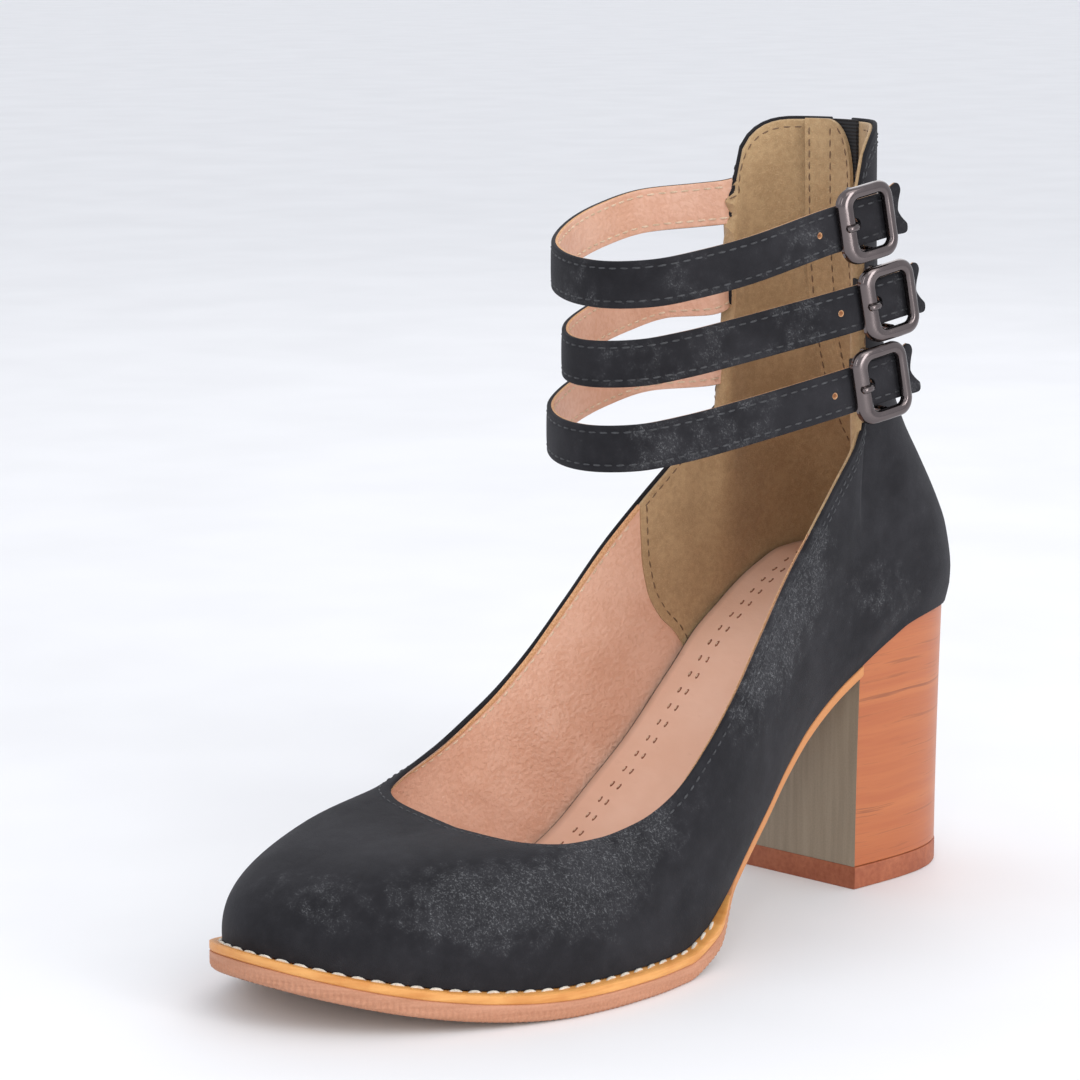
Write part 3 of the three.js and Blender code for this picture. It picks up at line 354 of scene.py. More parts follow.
def smoothPath(points, count):  # centripetal curve through points, evenly resampled
    points = np.asarray(points, float)
    points = np.concatenate([[2 * points[0] - points[1]], points, [2 * points[-1] - points[-2]]])
    fine = []
    for p0, p1, p2, p3 in zip(points, points[1:], points[2:], points[3:]):
        d0, d1, d2 = [max(np.linalg.norm(b - a) ** .5, 1e-4) for a, b in ((p0, p1), (p1, p2), (p2, p3))]
        m1 = ((p1 - p0) / d0 - (p2 - p0) / (d0 + d1) + (p2 - p1) / d1) * d1
        m2 = ((p2 - p1) / d1 - (p3 - p1) / (d1 + d2) + (p3 - p2) / d2) * d1
        t = np.linspace(0, 1, 24, endpoint=False)[:, None]
        fine.append((2 * t**3 - 3 * t**2 + 1) * p1 + (t**3 - 2 * t**2 + t) * m1
                    + (3 * t**2 - 2 * t**3) * p2 + (t**3 - t**2) * m2)
    fine.append(points[-2:-1])
    fine = np.concatenate(fine)
    total = alongLine(fine, [0])[1]
    return alongLine(fine, np.linspace(0, total, count))[0], total


def stitchRow(line, normals, spec, seed=0):  # rounded threads along a line, their ends dipping in
    line, normals = np.asarray(line, float), np.asarray(normals, float)
    both = np.concatenate([line, normals], 1)
    run = np.concatenate([[0], np.cumsum(np.linalg.norm(np.diff(line, axis=0), axis=1))])
    count = max(1, int(run[-1] / spec["pitch"]))
    spots = (np.arange(count) + .5) * run[-1] / count
    wander = random.Random(seed)
    shift = np.array([[wander.uniform(-1, 1), wander.uniform(-1, 1)] for _ in spots])

    def at(s):
        return np.stack([np.interp(s, run, both[:, k]) for k in range(6)], -1)

    mid, near, far = at(spots), at(spots - .3), at(spots + .3)
    along = unit(far[:, :3] - near[:, :3])
    out = unit(mid[:, 3:])
    across = unit(np.cross(out, along))
    along = unit(along + across * (spec.get("slant", 0) + .06 * shift[:, :1]))
    across = unit(np.cross(out, along))
    rings, sides = 5, 6
    u = np.linspace(-1, 1, rings)
    body = np.sqrt(np.maximum(0, 1 - np.abs(u) ** 2.5)) * .85 + .15
    angle = (np.arange(sides) + .5) / sides * 2 * math.pi
    half, r = spec["length"] / 2, spec["radius"]
    a = np.repeat(u * half, sides)
    b = np.outer(body, np.cos(angle)).ravel() * r
    lift = r * (spec.get("proud", .35) - spec.get("dip", .9) * np.abs(u) ** 2.2)
    c = np.outer(body, np.sin(angle)).ravel() * r * .8 + np.repeat(lift, sides)
    size = 1 + .08 * shift[:, 1:2]
    points = (mid[:, None, :3] + along[:, None] * (a * 1)[None, :, None] + across[:, None] * (b * size)[..., None]
              + out[:, None] * c[None, :, None])
    quads = gridFaces(rings, sides, True)
    caps = [list(range(sides))[::-1], list(range((rings - 1) * sides, rings * sides))]
    n = rings * sides
    faces = []
    for k in range(count):
        faces += (quads + k * n).tolist() + [[k * n + i for i in cap] for cap in caps]
    return points.reshape(-1, 3), faces


# ---- shader sums ----
class Wire:  # a socket that adds, multiplies and so on by making Math nodes
    def __init__(self, tree, socket=None):
        self.tree, self.socket = tree, socket

    def node(self, kind, settings=None, inputs=None, output=0):
        made = self.tree.nodes.new("ShaderNode" + kind)
        for key, value in (settings or {}).items():
            if key == "stops":
                ramp = made.color_ramp
                ramp.elements[0].position, ramp.elements[-1].position = value[0][0], value[-1][0]
                for at, _ in value[1:-1]:
                    ramp.elements.new(at)
                for element, (_, colour) in zip(ramp.elements, value):
                    element.color = (*colour, 1)
            else:
                setattr(made, key, value)
        for key, value in (inputs or {}).items():
            if isinstance(value, Wire):
                self.tree.links.new(value.socket, made.inputs[key])
            elif made.inputs[key].type == "RGBA":
                made.inputs[key].default_value = (*value, 1)
            else:
                made.inputs[key].default_value = value
        return Wire(self.tree, made.outputs[output] if made.outputs else None)

    def sum(self, operation, *values):
        return self.node("Math", {"operation": operation}, dict(enumerate(values)))

    def __add__(self, other):
        return self.sum("ADD", self, other)

    def __sub__(self, other):
        return self.sum("SUBTRACT", self, other)

    def __rsub__(self, other):
        return self.sum("SUBTRACT", other, self)

    def __mul__(self, other):
        return self.sum("MULTIPLY", self, other)

    def __truediv__(self, other):
        return self.sum("DIVIDE", self, other)

    def __pow__(self, other):
        return self.sum("POWER", self, other)

    __radd__, __rmul__ = __add__, __mul__

    def abs(self):
        return self.sum("ABSOLUTE", self)

    def least(self, other):
        return self.sum("MINIMUM", self, other)

    def most(self, other):
        return self.sum("MAXIMUM", self, other)

    def step(self, low, high):  # soft step from 0 at low to 1 at high
        return self.node("MapRange", {"interpolation_type": "SMOOTHSTEP"}, {0: self, 1: low, 2: high, 3: 0.0, 4: 1.0})

    def blend(self, first, second):  # this value mixes two colours
        return self.node("Mix", {"data_type": "RGBA"}, {0: self, 6: first, 7: second}, 2)

    def place(self):
        return self.node("TexCoord", {}, {}, 3)

    def mark(self, name):
        return self.node("Attribute", {"attribute_name": name}, {}, 2)

    def stretched(self, scale, turn=(0, 0, 0)):  # object coordinates in millimetres, scaled along turned axes
        spun = self.node("VectorRotate", {"rotation_type": "EULER_XYZ"}, {0: self.place(), 4: turn})
        return self.node("VectorMath", {"operation": "MULTIPLY"}, {0: spun, 1: tuple(1000 * s for s in scale)})

    def noise(self, size, detail=2.0, rough=.55, vector=None):  # size of its spots in millimetres
        if vector is None:
            return self.node("TexNoise", {}, {"Vector": self.place(), "Scale": 1000 / size, "Detail": detail,
                                              "Roughness": rough})
        return self.node("TexNoise", {}, {"Vector": vector, "Scale": 1 / size, "Detail": detail, "Roughness": rough})

    def cells(self, size, output=0, feature="F1"):
        return self.node("TexVoronoi", {"feature": feature}, {"Vector": self.place(), "Scale": 1000 / size}, output)

    def bump(self, height, depth):  # height 0 to 1 is depth millimetres
        return self.node("Bump", {}, {"Height": height, "Strength": 1.0, "Distance": depth / 1000})


def look(name, paint):
    made = bpy.data.materials.new(name)
    made.use_nodes = True
    made.node_tree.nodes.clear()
    wire = Wire(made.node_tree)
    shader = wire.node("BsdfPrincipled", {}, paint(wire))
    wire.node("OutputMaterial", {}, {"Surface": shader})
    return made


# ---- finishes ----
nubuckLook = {"dark": (.0100, .0096, .0118), "mid": (.0225, .0218, .0255), "frost": (.185, .189, .196),
              "strand": .42, "grain": .2, "rough": .86}


def paintNubuck(w):
    cloud = w.noise(21, 3)
    mottle = w.noise(4.5, 4, .62)
    fibres = [w.noise(nubuckLook["strand"], 3, .7, w.stretched((1, .3, .55), turn))
              for turn in ((0, 0, .5), (.7, .4, 1.7), (1.3, 0, 2.6))]
    grit = w.noise(.32, 3, .65)
    strands = fibres[0].most(fibres[1]).most(fibres[2])
    frost = w.mark("frost")
    patch = (frost + (mottle - .5) * 2.6 * frost.step(.02, .5)).step(.30, 1.35)
    thin = strands.step(.56, .72) * patch
    dusty = strands.step(.60, .78) * mottle.step(.48, .70) * .14
    base = (cloud * .6 + mottle * .4).step(.3, .72).blend(nubuckLook["dark"], nubuckLook["mid"])
    seam = w.mark("seam").abs()
    shade = seam.step(.12, .55)
    base = shade.blend((.006, .006, .008), base)
    white = (thin * .72 + patch * .06 + dusty + grit.step(.6, .8) * .05).least(1.0)
    paint = white.blend(base, nubuckLook["frost"])
    height = grit * .35 + strands * .4 + thin * .3 + w.mark("seam").step(-.35, .35) * 2.4 - (1 - shade) * 1.2
    return {"Base Color": paint, "Roughness": nubuckLook["rough"] - thin * .12 - (cloud - .5) * .1,
            "Normal": w.bump(height, nubuckLook["grain"]), "Specular IOR Level": .2,
            "Sheen Weight": .05, "Sheen Roughness": .5, "Sheen Tint": (.8, .8, .85)}


# the lining's deep colour is used only as painted shade in its folds
liningLook = {"base": (.68, .385, .265), "deep": (.57, .295, .19), "light": (.76, .47, .345), "rough": .37, "depth": .2}


def paintLining(w):
    cloud = w.noise(16, 2)
    pebble = w.noise(1.25, 2, .5).step(.34, .64)
    fold = w.noise(1.7, 2, .5, w.stretched((.34, .6, .8), (.3, .5, .4)))
    fine = w.noise(.5, 3)
    foldsAndPaintedShade = fold.step(.36, .68) * w.mark("wrinkle")
    tone = (cloud * .75 + fine * .1 + pebble * .15).step(.3, .7)
    # painted shade: the folds tint the lining up to 10% towards its deep colour, besides giving its bumps
    base = (1 - foldsAndPaintedShade * .1).blend(liningLook["deep"], tone.blend(liningLook["base"], liningLook["light"]))
    height = pebble * (w.mark("wrinkle") * .5 + .25) + foldsAndPaintedShade * .55 + fine * .12
    return {"Base Color": base, "Roughness": liningLook["rough"] + (1 - pebble) * .1 + fine * .06,
            "Normal": w.bump(height, liningLook["depth"]), "Specular IOR Level": .5}


tanLook = {"base": (.49, .335, .18), "deep": (.375, .245, .125), "light": (.60, .43, .25), "rough": .88, "depth": .3}


def paintTan(w):
    cloud = w.noise(12, 3)
    nap = w.noise(1.5, 4, .65)
    fine = w.noise(.35, 2, .6)
    tone = (cloud * .5 + nap * .5).step(.34, .68)
    base = tone.blend(tanLook["deep"], tanLook["base"])
    base = (fine.step(.5, .75) * .5).blend(base, tanLook["light"])
    return {"Base Color": base, "Roughness": tanLook["rough"] - fine * .06, "Normal": w.bump(nap * .7 + fine * .5, tanLook["depth"]),
            "Specular IOR Level": .25, "Sheen Weight": .2, "Sheen Roughness": .5}


def paintRawEdge(w):
    fibre = w.noise(.5, 4, .7)
    return {"Base Color": fibre.step(.3, .7).blend((.50, .24, .10), (.76, .46, .26)), "Roughness": .8,
            "Normal": w.bump(fibre, .15)}


footbedLook = {"base": (.735, .455, .325), "light": (.80, .53, .40), "deep": (.62, .34, .23), "rough": .5}


def paintFootbed(w):
    cloud = w.noise(26, 3)
    line = w.noise(1.1, 3, .6, w.stretched((.5, .16, .5), (0, 0, .25)))
    pore = w.cells(.7, 0).step(0, .35)
    tone = (cloud * .8 + line * .2).step(.3, .7)
    base = tone.blend(footbedLook["base"], footbedLook["light"])
    base = (line.step(.63, .78) * .3).blend(base, footbedLook["deep"])
    # painted shade: the footbed's side faces are coloured near-black for the dark gap between its edge and the upper
    side = w.mark("side")
    base = side.blend(base, (.022, .019, .020))
    return {"Base Color": base, "Roughness": footbedLook["rough"] + line * .1, "Normal": w.bump(pore * .25 + line * .6, .12),
            "Specular IOR Level": .4}


def plainPaint(first, second, size, rough, depth, detail=3.0, **more):
    def paint(w):
        big, small = w.noise(size * 8, 3), w.noise(size, detail, .62)
        return {"Base Color": (big * .5 + small * .5).step(.3, .7).blend(first, second),
                "Roughness": rough + (small - .5) * .14, "Normal": w.bump(small, depth), **more}
    return paint


def paintSoleEdge(w):
    fine = w.noise(.5, 3)
    streak = w.noise(1, 3, .6, w.stretched((.05, .05, .9)))
    base = (streak * .6 + fine * .4).step(.3, .7).blend((.43, .19, .105), (.55, .265, .16))
    base = w.mark("fore").blend((.56, .235, .085), base)
    return {"Base Color": base, "Roughness": .62 + fine * .12, "Normal": w.bump(fine * .5 + streak * .6, .12)}


def paintWelt(w):
    streak = w.noise(1, 3, .6, w.stretched((.06, .06, .8)))
    spot = w.noise(9, 3)
    base = (streak * .5 + spot * .5).step(.3, .72).blend((.60, .235, .05), (.80, .40, .12))
    return {"Base Color": base, "Roughness": .5 + streak * .12, "Normal": w.bump(streak, .06), "Coat Weight": .12,
            "Coat Roughness": .4}


woodLook = {"base": (.395, .098, .025), "light": (.47, .140, .038), "dark": (.17, .038, .012), "rough": .4}


def paintWood(w):
    sway = w.noise(34, 2)
    lift = w.node("CombineXYZ", {}, {2: (sway - .5) * 2.5})
    bent = w.node("VectorMath", {"operation": "ADD"}, {0: w.stretched((.028, .028, 1)), 1: lift})
    broad = w.noise(6, 3, .5, bent)
    grain = w.noise(1.0, 4, .6, bent)
    hair = w.noise(.36, 3, .6, w.stretched((.04, .04, 1)))
    tone = (broad * .6 + grain * .4).step(.34, .66)
    base = tone.blend(woodLook["base"], woodLook["light"])
    dark = grain.step(.56, .68) * (broad * .9 + .15) + hair.step(.6, .74) * .28
    base = (dark * .8).least(1.0).blend(base, woodLook["dark"])
    return {"Base Color": base, "Roughness": woodLook["rough"] + grain * .12, "Normal": w.bump(grain * .5 + hair * .3, .07),
            "Coat Weight": .25, "Coat Roughness": .28}


def paintBreast(w):
    down = w.noise(2.2, 4, .6, w.stretched((1, 1, .05)))
    fine = w.noise(.5, 2)
    return {"Base Color": (down * .7 + fine * .3).step(.3, .7).blend((.255, .205, .145), (.335, .275, .2)),
            "Roughness": .5 + fine * .1, "Normal": w.bump(down * .6 + fine * .3, .08)}


def paintMetal(w):
    smear = w.noise(7, 3)
    scratch = w.noise(.25, 2, .6, w.stretched((.12, 1, 1), (.4, .3, .6)))
    wear = scratch.step(.66, .78)
    return {"Base Color": (wear * .4 + smear * .2).blend((.105, .084, .083), (.27, .235, .235)), "Metallic": 1.0,
            "Roughness": .13 + smear.step(.35, .75) * .07 + wear * .12, "Normal": w.bump(smear * .4 + scratch * .1, .04),
            "Coat Weight": .5, "Coat Roughness": .06}


def paintWebbing(w):
    rib = w.node("Math", {"operation": "SINE"}, {0: w.mark("run") * (2 * math.pi / .9)}) * .5 + .5
    weave = w.noise(.3, 2)
    centre = w.mark("across").abs()
    line = (centre - .16).abs().step(.09, .03)
    base = (rib * .7 + weave * .3).blend((.004, .004, .005), (.022, .022, .025))
    base = (line * .6).blend(base, (.16, .16, .165))
    return {"Base Color": base, "Roughness": .78 + weave * .1, "Normal": w.bump(rib * .8 + weave * .25 + line * .4, .22)}


nubuck = look("nubuck", paintNubuck)
liningLeather = look("liningLeather", paintLining)
tanSuede = look("tanSuede", paintTan)
rawEdge = look("rawEdge", paintRawEdge)
footbedLeather = look("footbedLeather", paintFootbed)
soleEdge = look("soleEdge", paintSoleEdge)
weltLeather = look("weltLeather", paintWelt)
woodWrap = look("woodWrap", paintWood)
breastSheet = look("breastSheet", paintBreast)
gunmetal = look("gunmetal", paintMetal)
webbing = look("webbing", paintWebbing)
liftRubber = look("liftRubber", plainPaint((.27, .065, .024), (.40, .125, .055), 1.2, .55, .08))
soleUnder = look("soleUnder", plainPaint((.30, .17, .10), (.42, .26, .16), 1.1, .7, .2))
darkThread = look("darkThread", plainPaint((.010, .010, .012), (.050, .052, .058), .35, .55, .08))
creamThread = look("creamThread", plainPaint((.52, .36, .23), (.80, .64, .48), .35, .6, .08))
whiteThread = look("whiteThread", plainPaint((.50, .44, .36), (.86, .80, .70), .4, .6, .1))
brownInk = look("brownInk", plainPaint((.17, .05, .022), (.30, .11, .06), .4, .7, .06))
coilPlastic = look("coilPlastic", plainPaint((.006, .006, .007), (.02, .02, .022), .6, .3, .03))
print("finishes made:", len(bpy.data.materials))


# ---- upper ----
upperShape = {"leather": 1.1, "edgeDrop": .7, "liningIn": 1.15, "liningOut": 1.8, "tanOut": 2.2,
              "backColumns": 12, "sideColumns": 150, "rows": 50}
fineRows = [.55, .8, 1.1, 1.5, 1.9, 2.3, 2.6, 2.9, 3.1, 3.4, 3.8, 4.4, 5.2, 6.2, 7.4]
tanEdge = curveOf([0, .28, .435, .585, .775, .945, 1], [.425, .450, .470, .482, .487, .487, .486])
vampSeam = curveOf([0, .3, .6, .85, 1], [.575, .618, .642, .652, .655])
softForms = [  # side, x, z, turn, length, width, height of troughs and ridges
    (1, 17, 112, 95, 20, 6.0, -.75), (1, 25, 106, 90, 18, 5.0, .35), (1, 8, 88, 80, 15, 6.5, -.45),
    (1, 62, 66, -42, 26, 6.5, -.55), (1, 74, 58, -42, 24, 5.5, .30), (1, 108, 26, -25, 24, 6.0, -.50),
    (1, 118, 32, -20, 22, 5.0, .28), (1, 150, 26, -8, 26, 5.0, .22), (1, 36, 88, -60, 15, 4.5, -.35),
    (-1, 16, 108, 90, 20, 6.0, -.60), (-1, 58, 64, -42, 24, 6.5, -.55), (-1, 70, 54, -42, 22, 5.0, .28),
    (-1, 112, 26, -22, 24, 6.0, -.45), (-1, 150, 24, -6, 26, 5.0, .25), (-1, 34, 86, -60, 15, 5.0, -.30)]
liningForms = [
    (-1, 84, 42, 70, 10, 3.6, .95), (-1, 92, 37, 62, 12, 3.4, -.70), (-1, 75, 50, 55, 13, 4.0, -.45),
    (-1, 102, 30, 40, 14, 3.2, .50), (-1, 66, 66, -30, 14, 4.0, .35), (-1, 110, 40, -20, 16, 4.5, -.30),
    (1, 88, 40, 65, 12, 3.6, .60), (1, 72, 54, -35, 14, 4.0, .40), (1, 104, 28, 40, 14, 3.6, -.40),
    (-1, 16, 150, 88, 26, 4.0, .40), (-1, 22, 120, 80, 20, 4.5, -.45), (1, 20, 130, 88, 24, 4.5, .40)]
frostSpots = [  # x, y, z, radius, strength
    (197, 2, 31, 8.5, .75), (199, -14, 31, 7, .35), (181, 19, 30, 10, .80), (170, 27, 28, 11, 1.0), (158, 33, 27, 10, .75),
    (151, 35, 31, 9, .75), (136, 34, 33, 11, .95), (128, 34, 38, 9, 1.0), (121, 34, 41, 8, .8), (142, 38, 24, 11, .35),
    (104, 40, 42, 12, .30), (88, 36, 60, 10, .50), (78, 33, 69, 12, .85), (68, 31, 77, 11, .95), (59, 30, 86, 10, .80),
    (51, 28, 96, 8, .55), (40, 28, 80, 14, .30), (22, 26, 80, 10, .50), (10, 24, 76, 9, .45), (5, 24, 98, 8, .25),
    (-16, 16, 82, 9, .45), (-12, -18, 84, 10, .45), (18, 21, 140, 10, .30), (14, 18, 168, 9, .25),
    (175, -36, 26, 11, .85), (158, -43, 24, 12, .9), (138, -41, 30, 10, .6), (120, -38, 40, 10, .7), (96, -33, 54, 10, .5),
    (70, -30, 72, 12, .8), (52, -28, 90, 9, .6), (20, -25, 84, 11, .5), (14, -18, 160, 10, .35)]


def formsAt(points, side, table):
    total = np.zeros(points.shape[:-1])
    for which, x, z, turn, length, width, height in table:
        if which == side:
            c, s = math.cos(math.radians(turn)), math.sin(math.radians(turn))
            dx, dz = points[..., 0] - x, points[..., 2] - z
            total += height * hump(dx * c + dz * s, length) * hump(dz * c - dx * s, width)
    return total


def frostAt(points):
    total = np.full(points.shape[:-1], .04)
    for x, y, z, radius, strength in frostSpots:
        total += strength * np.exp(-(((points - (x, y, z)) / radius) ** 2).sum(-1))
    return np.minimum(total, 1.15)


def wallColumns(side, fine, rows, start, end, sideCount):  # walk and rise of each column and row of one side
    seamYs = [0, 1.2, 2.4, shaft["slotHalf"]]
    nominal = list(backShare * turnAt(np.array(seamYs), 150.0)) if start is None else []
    first = nominal[-1] if nominal else None
    backs = [mix(first, backShare, (i + 1) / upperShape["backColumns"]) for i in range(upperShape["backColumns"])] \
        if nominal else []
    midStart = backShare if start is None else float(start(.6))
    midEnd = 1.0 if end is None else float(end(.6))
    shares = np.linspace(0, 1, sideCount + 1)[1 if nominal else 0:]
    flank = [mix(midStart, midEnd, s) for s in shares]
    walks = np.array(nominal + backs + flank)
    fineRises = np.linspace(1, 0, 161)
    line = skin(walks[:, None], fineRises[None, :], side)
    run = np.concatenate([np.zeros((len(line), 1)), np.cumsum(np.linalg.norm(np.diff(line, axis=1), axis=2), 1)], 1)
    top = np.array([np.interp(fine, r, fineRises) for r in run])
    lower = top[:, -1:] * (1 - np.linspace(0, 1, rows + 1)[1:])[None, :]
    rise = np.concatenate([top, lower], 1)
    below = np.array([np.interp(1 - rise[i], 1 - fineRises, run[i]) for i in range(len(run))])
    walk = np.repeat(walks[:, None], rise.shape[1], 1)
    if nominal:
        z = mix(last["seatHeight"], shaft["top"], rise)
        edge = turnAt(shaft["slotHalf"], z)
        for i, y in enumerate(seamYs):
            walk[i] = backShare * turnAt(y, z[i])
        for i in range(len(backs)):
            k = len(seamYs) + i
            walk[k] = backShare * mix(edge[k], 1, (i + 1) / len(backs))
    if start is not None or end is not None:
        base = len(nominal) + len(backs)
        low = start(rise[base:]) if start is not None else backShare
        high = end(rise[base:]) if end is not None else 1.0
        walk[base:] = low + (high - low) * shares[:, None]
    return walk, rise, below


def wallSheet(side, grid, depth, forms, inward=False):
    walk, rise, below = grid
    lift = formsAt(skin(walk, rise, side), side, forms)
    if inward:  # a lining's folds stand into the shoe, and its back stays on the leather
        lift = -np.maximum(lift, -.4) if depth > upperShape["liningIn"] else 0 * lift
    elif depth > 0:  # the leather's inner face stays off the lining where its outer face sinks in
        lift = np.maximum(lift, 0)
    points = skinAt(walk, rise, side, np.full(walk.shape, float(depth)) - lift * ease(below / 8))
    return points


def foldRows(side, grid, leather, drop, steps=3):  # rows that turn over the top edge, from outside and from inside
    walk, rise, _ = grid
    top = skin(walk[:, 0], rise[:, 0], side)
    under = skin(walk[:, 2], rise[:, 2], side)
    up = unit(top - under)
    normal = skinNormal(walk[:, 0], rise[:, 0], side)
    middle = top - normal * drop
    half = leather / 2
    outer = [middle + normal * half * math.cos(a) + up * half * math.sin(a)
             for a in np.linspace(math.pi / 2, 0, steps + 1)[:-1]]
    inner = [middle - normal * half * math.cos(a) + up * half * math.sin(a)
             for a in np.linspace(math.pi / 2, 0, steps + 1)[:-1]]
    return np.stack(outer, 1), np.stack(inner, 1)


def ringOf(lateral, medial, closedBack=True):  # both sides as one strip, joined at the toe and, where closed, at the back
    medial = medial[1:-1] if closedBack else medial[:-1]
    return np.concatenate([lateral, medial[::-1]], 0)


def buildWall(name, depthOut, depthIn, drop, forms, looks, start=None, end=None, sideCount=150, rows=50, inward=False,
              marks=None, stands=(), slot=None):
    leather = depthIn - depthOut
    fine = [f + drop for f in fineRows]
    outer, inner, extra = [], [], {"below": [], "seam": [], "walk": [], "rise": []}
    for side in (1, -1):
        grid = wallColumns(side, fine, rows, start, end, sideCount)
        a = wallSheet(side, grid, depthOut, forms, inward=inward)
        b = wallSheet(side, grid, depthIn, forms, inward=inward)
        foldOut, foldIn = foldRows(side, grid, leather, depthOut + leather / 2)
        outer.append(np.concatenate([foldOut, a], 1))
        inner.append(np.concatenate([foldIn, b], 1))
        walk, rise, below = [np.concatenate([np.repeat(g[:, :1], foldOut.shape[1], 1), g], 1) for g in grid]
        seam = np.full(walk.shape, 60.0)
        perWalk = np.linalg.norm(np.gradient(outer[-1], axis=0), axis=2) / np.maximum(np.abs(np.gradient(walk, axis=0)), 1e-5)
        backAway = np.abs(outer[-1][..., 1]) + np.where(walk > .12, 60, 0)
        if side > 0:
            seam = np.minimum(seam, backAway)
        else:
            vamp = (walk - vampSeam(rise)) * np.clip(perWalk, 100, 400)
            seam = np.maximum(-backAway, vamp)
        for key, values in (("below", below), ("seam", seam), ("walk", walk), ("rise", rise)):
            extra[key].append(values)
    closedBack = start is None
    if end is None:
        outside, inside = [ringOf(g[0], g[1], closedBack) for g in (outer, inner)]
        along = {key: ringOf(v[0], v[1], closedBack) for key, v in extra.items()}
    else:  # from one front edge round the back to the other
        outside, inside = [np.concatenate([g[0][::-1], g[1][1:]], 0) for g in (outer, inner)]
        along = {key: np.concatenate([v[0][::-1], v[1][1:]], 0) for key, v in extra.items()}
    columns, levels = outside.shape[:2]
    loop = closedBack and end is None
    quads = gridFaces(levels, columns, loop)
    cloud = outside.transpose(1, 0, 2).reshape(-1, 3)
    middle = cloud[quads].mean(1)
    slit = (np.abs(middle[:, 1]) < shaft["slotHalf"] - .05) & (middle[:, 2] > shaft["slotFoot"]) & (middle[:, 0] < 19)
    quads = quads[~slit]
    points, faces = shellOf(cloud, inside.transpose(1, 0, 2).reshape(-1, 3), quads)
    made = {key: np.tile(v.T.reshape(-1), 2) for key, v in along.items() if key in ("below", "seam")}
    made["frost"] = frostAt(points)
    if marks:
        made.update(marks(points))
    return makePiece(name, points, faces, looks, marks=made, stands=stands, slot=slot)


buildWall("upperNubuck", 0, upperShape["leather"], 0, softForms, [nubuck], sideCount=upperShape["sideColumns"],
          rows=upperShape["rows"], stands=("upper",), slot="suede")
print("nubuck upper made")


def wrinkleMark(points):
    # strongest near x 84, z 44; it scales the folds' bumps and their painted shade
    x, z = points[:, 0], points[:, 2]
    amount = .35 + .65 * hump(x - 84, 22) * hump(z - 44, 22)
    return {"wrinkle": np.clip(amount, 0, 1)}


def overlapStart(rise):
    return tanEdge(rise) - .022


buildWall("vampLining", upperShape["liningIn"], upperShape["liningOut"], upperShape["edgeDrop"], liningForms, [liningLeather],
          start=overlapStart, sideCount=110, rows=44, inward=True, marks=wrinkleMark, slot="insole")
buildWall("counterLining", upperShape["liningIn"], upperShape["tanOut"], upperShape["edgeDrop"], liningForms, [tanSuede],
          end=tanEdge, sideCount=40, rows=44, inward=True, slot="guard")
print("linings made")


def topLine(side, distance, depth, walkFrom, walkTo, count=260):  # line at a distance below the topline
    walks = np.linspace(walkFrom, walkTo, count)
    fineRises = np.linspace(1, 0, 161)
    line = skin(walks[:, None], fineRises[None, :], side)
    run = np.concatenate([np.zeros((count, 1)), np.cumsum(np.linalg.norm(np.diff(line, axis=1), axis=2), 1)], 1)
    rise = np.array([np.interp(distance, r, fineRises) for r in run])
    normal = skinNormal(walks, rise, side)
    lift = formsAt(skin(walks, rise, side), side, softForms if depth <= 0 else liningForms)
    lift = lift * (1 if depth <= 0 else -1) * ease(distance / 8)
    return skinAt(walks, rise, side, np.full(count, float(depth)) - lift), normal * (1 if depth <= 0 else -1)


def bothSides(distance, depth, walkFrom, walkTo):
    lateral, medial = [topLine(side, distance, depth, walkFrom, walkTo) for side in (1, -1)]
    if walkTo < 1:
        return [lateral, medial]
    return [(np.concatenate([lateral[0], medial[0][::-1][1:]]), np.concatenate([lateral[1], medial[1][::-1][1:]]))]


outerThread = {"pitch": 2.7, "length": 2.1, "radius": .26, "proud": .25}
liningThread = {"pitch": 2.9, "length": 2.4, "radius": .3, "proud": .45}
slotWalk = .058
parts = [stitchRow(line, normal, outerThread, i) for i, (line, normal) in enumerate(
    bothSides(2.9, 0, slotWalk, 1.0) + bothSides(5.0, 0, slotWalk, .62))]
for side in (1, -1):  # down both sides of the zip
    heights = np.linspace(shaft["slotFoot"] - 4, shaft["top"] - 3, 80)
    for away in (2.2, 4.4):
        turn = turnAt(shaft["slotHalf"] + away, heights)
        walk, rise = backShare * turn, (heights - last["seatHeight"]) / (shaft["top"] - last["seatHeight"])
        parts.append(stitchRow(skinAt(walk, rise, side, np.zeros(80)), skinNormal(walk, rise, side), outerThread, 5))
rise = np.linspace(.03, .985, 90)
for away in (1.6, 3.6):  # two rows beside the inner side's seam
    walk = vampSeam(rise) + away / 240
    parts.append(stitchRow(skinAt(walk, rise, -1, np.zeros(90)), skinNormal(walk, rise, -1), outerThread, 8))
makePiece("upperStitches", *joinParts(parts), [darkThread], slot="suede", crease=60)

pinkLine = bothSides(upperShape["edgeDrop"] + 2.3, upperShape["liningOut"], .5, 1.0)
makePiece("liningStitches", *joinParts([stitchRow(l, n, liningThread, 20) for l, n in pinkLine]), [creamThread],
          slot="insole", crease=60)
tanParts = [stitchRow(l, n, {**liningThread, "radius": .2}, 30)
            for l, n in bothSides(upperShape["edgeDrop"] + 2.0, upperShape["tanOut"], slotWalk + .01, .482)]
for side in (1, -1):
    rise = np.linspace(.14, .96, 80)
    walk = tanEdge(rise) - 1.9 / 240
    normal = -skinNormal(walk, rise, side)
    tanParts.append(stitchRow(skinAt(walk, rise, side, np.full(80, upperShape["tanOut"])), normal,
                              {**liningThread, "radius": .2}, 31))
makePiece("counterStitches", *joinParts(tanParts), [look("brownThread", plainPaint((.10, .055, .028), (.24, .15, .085), .35, .6,
                                                                           .08))], slot="guard", crease=60)

edgeStrip = {"width": .85, "proud": .24}


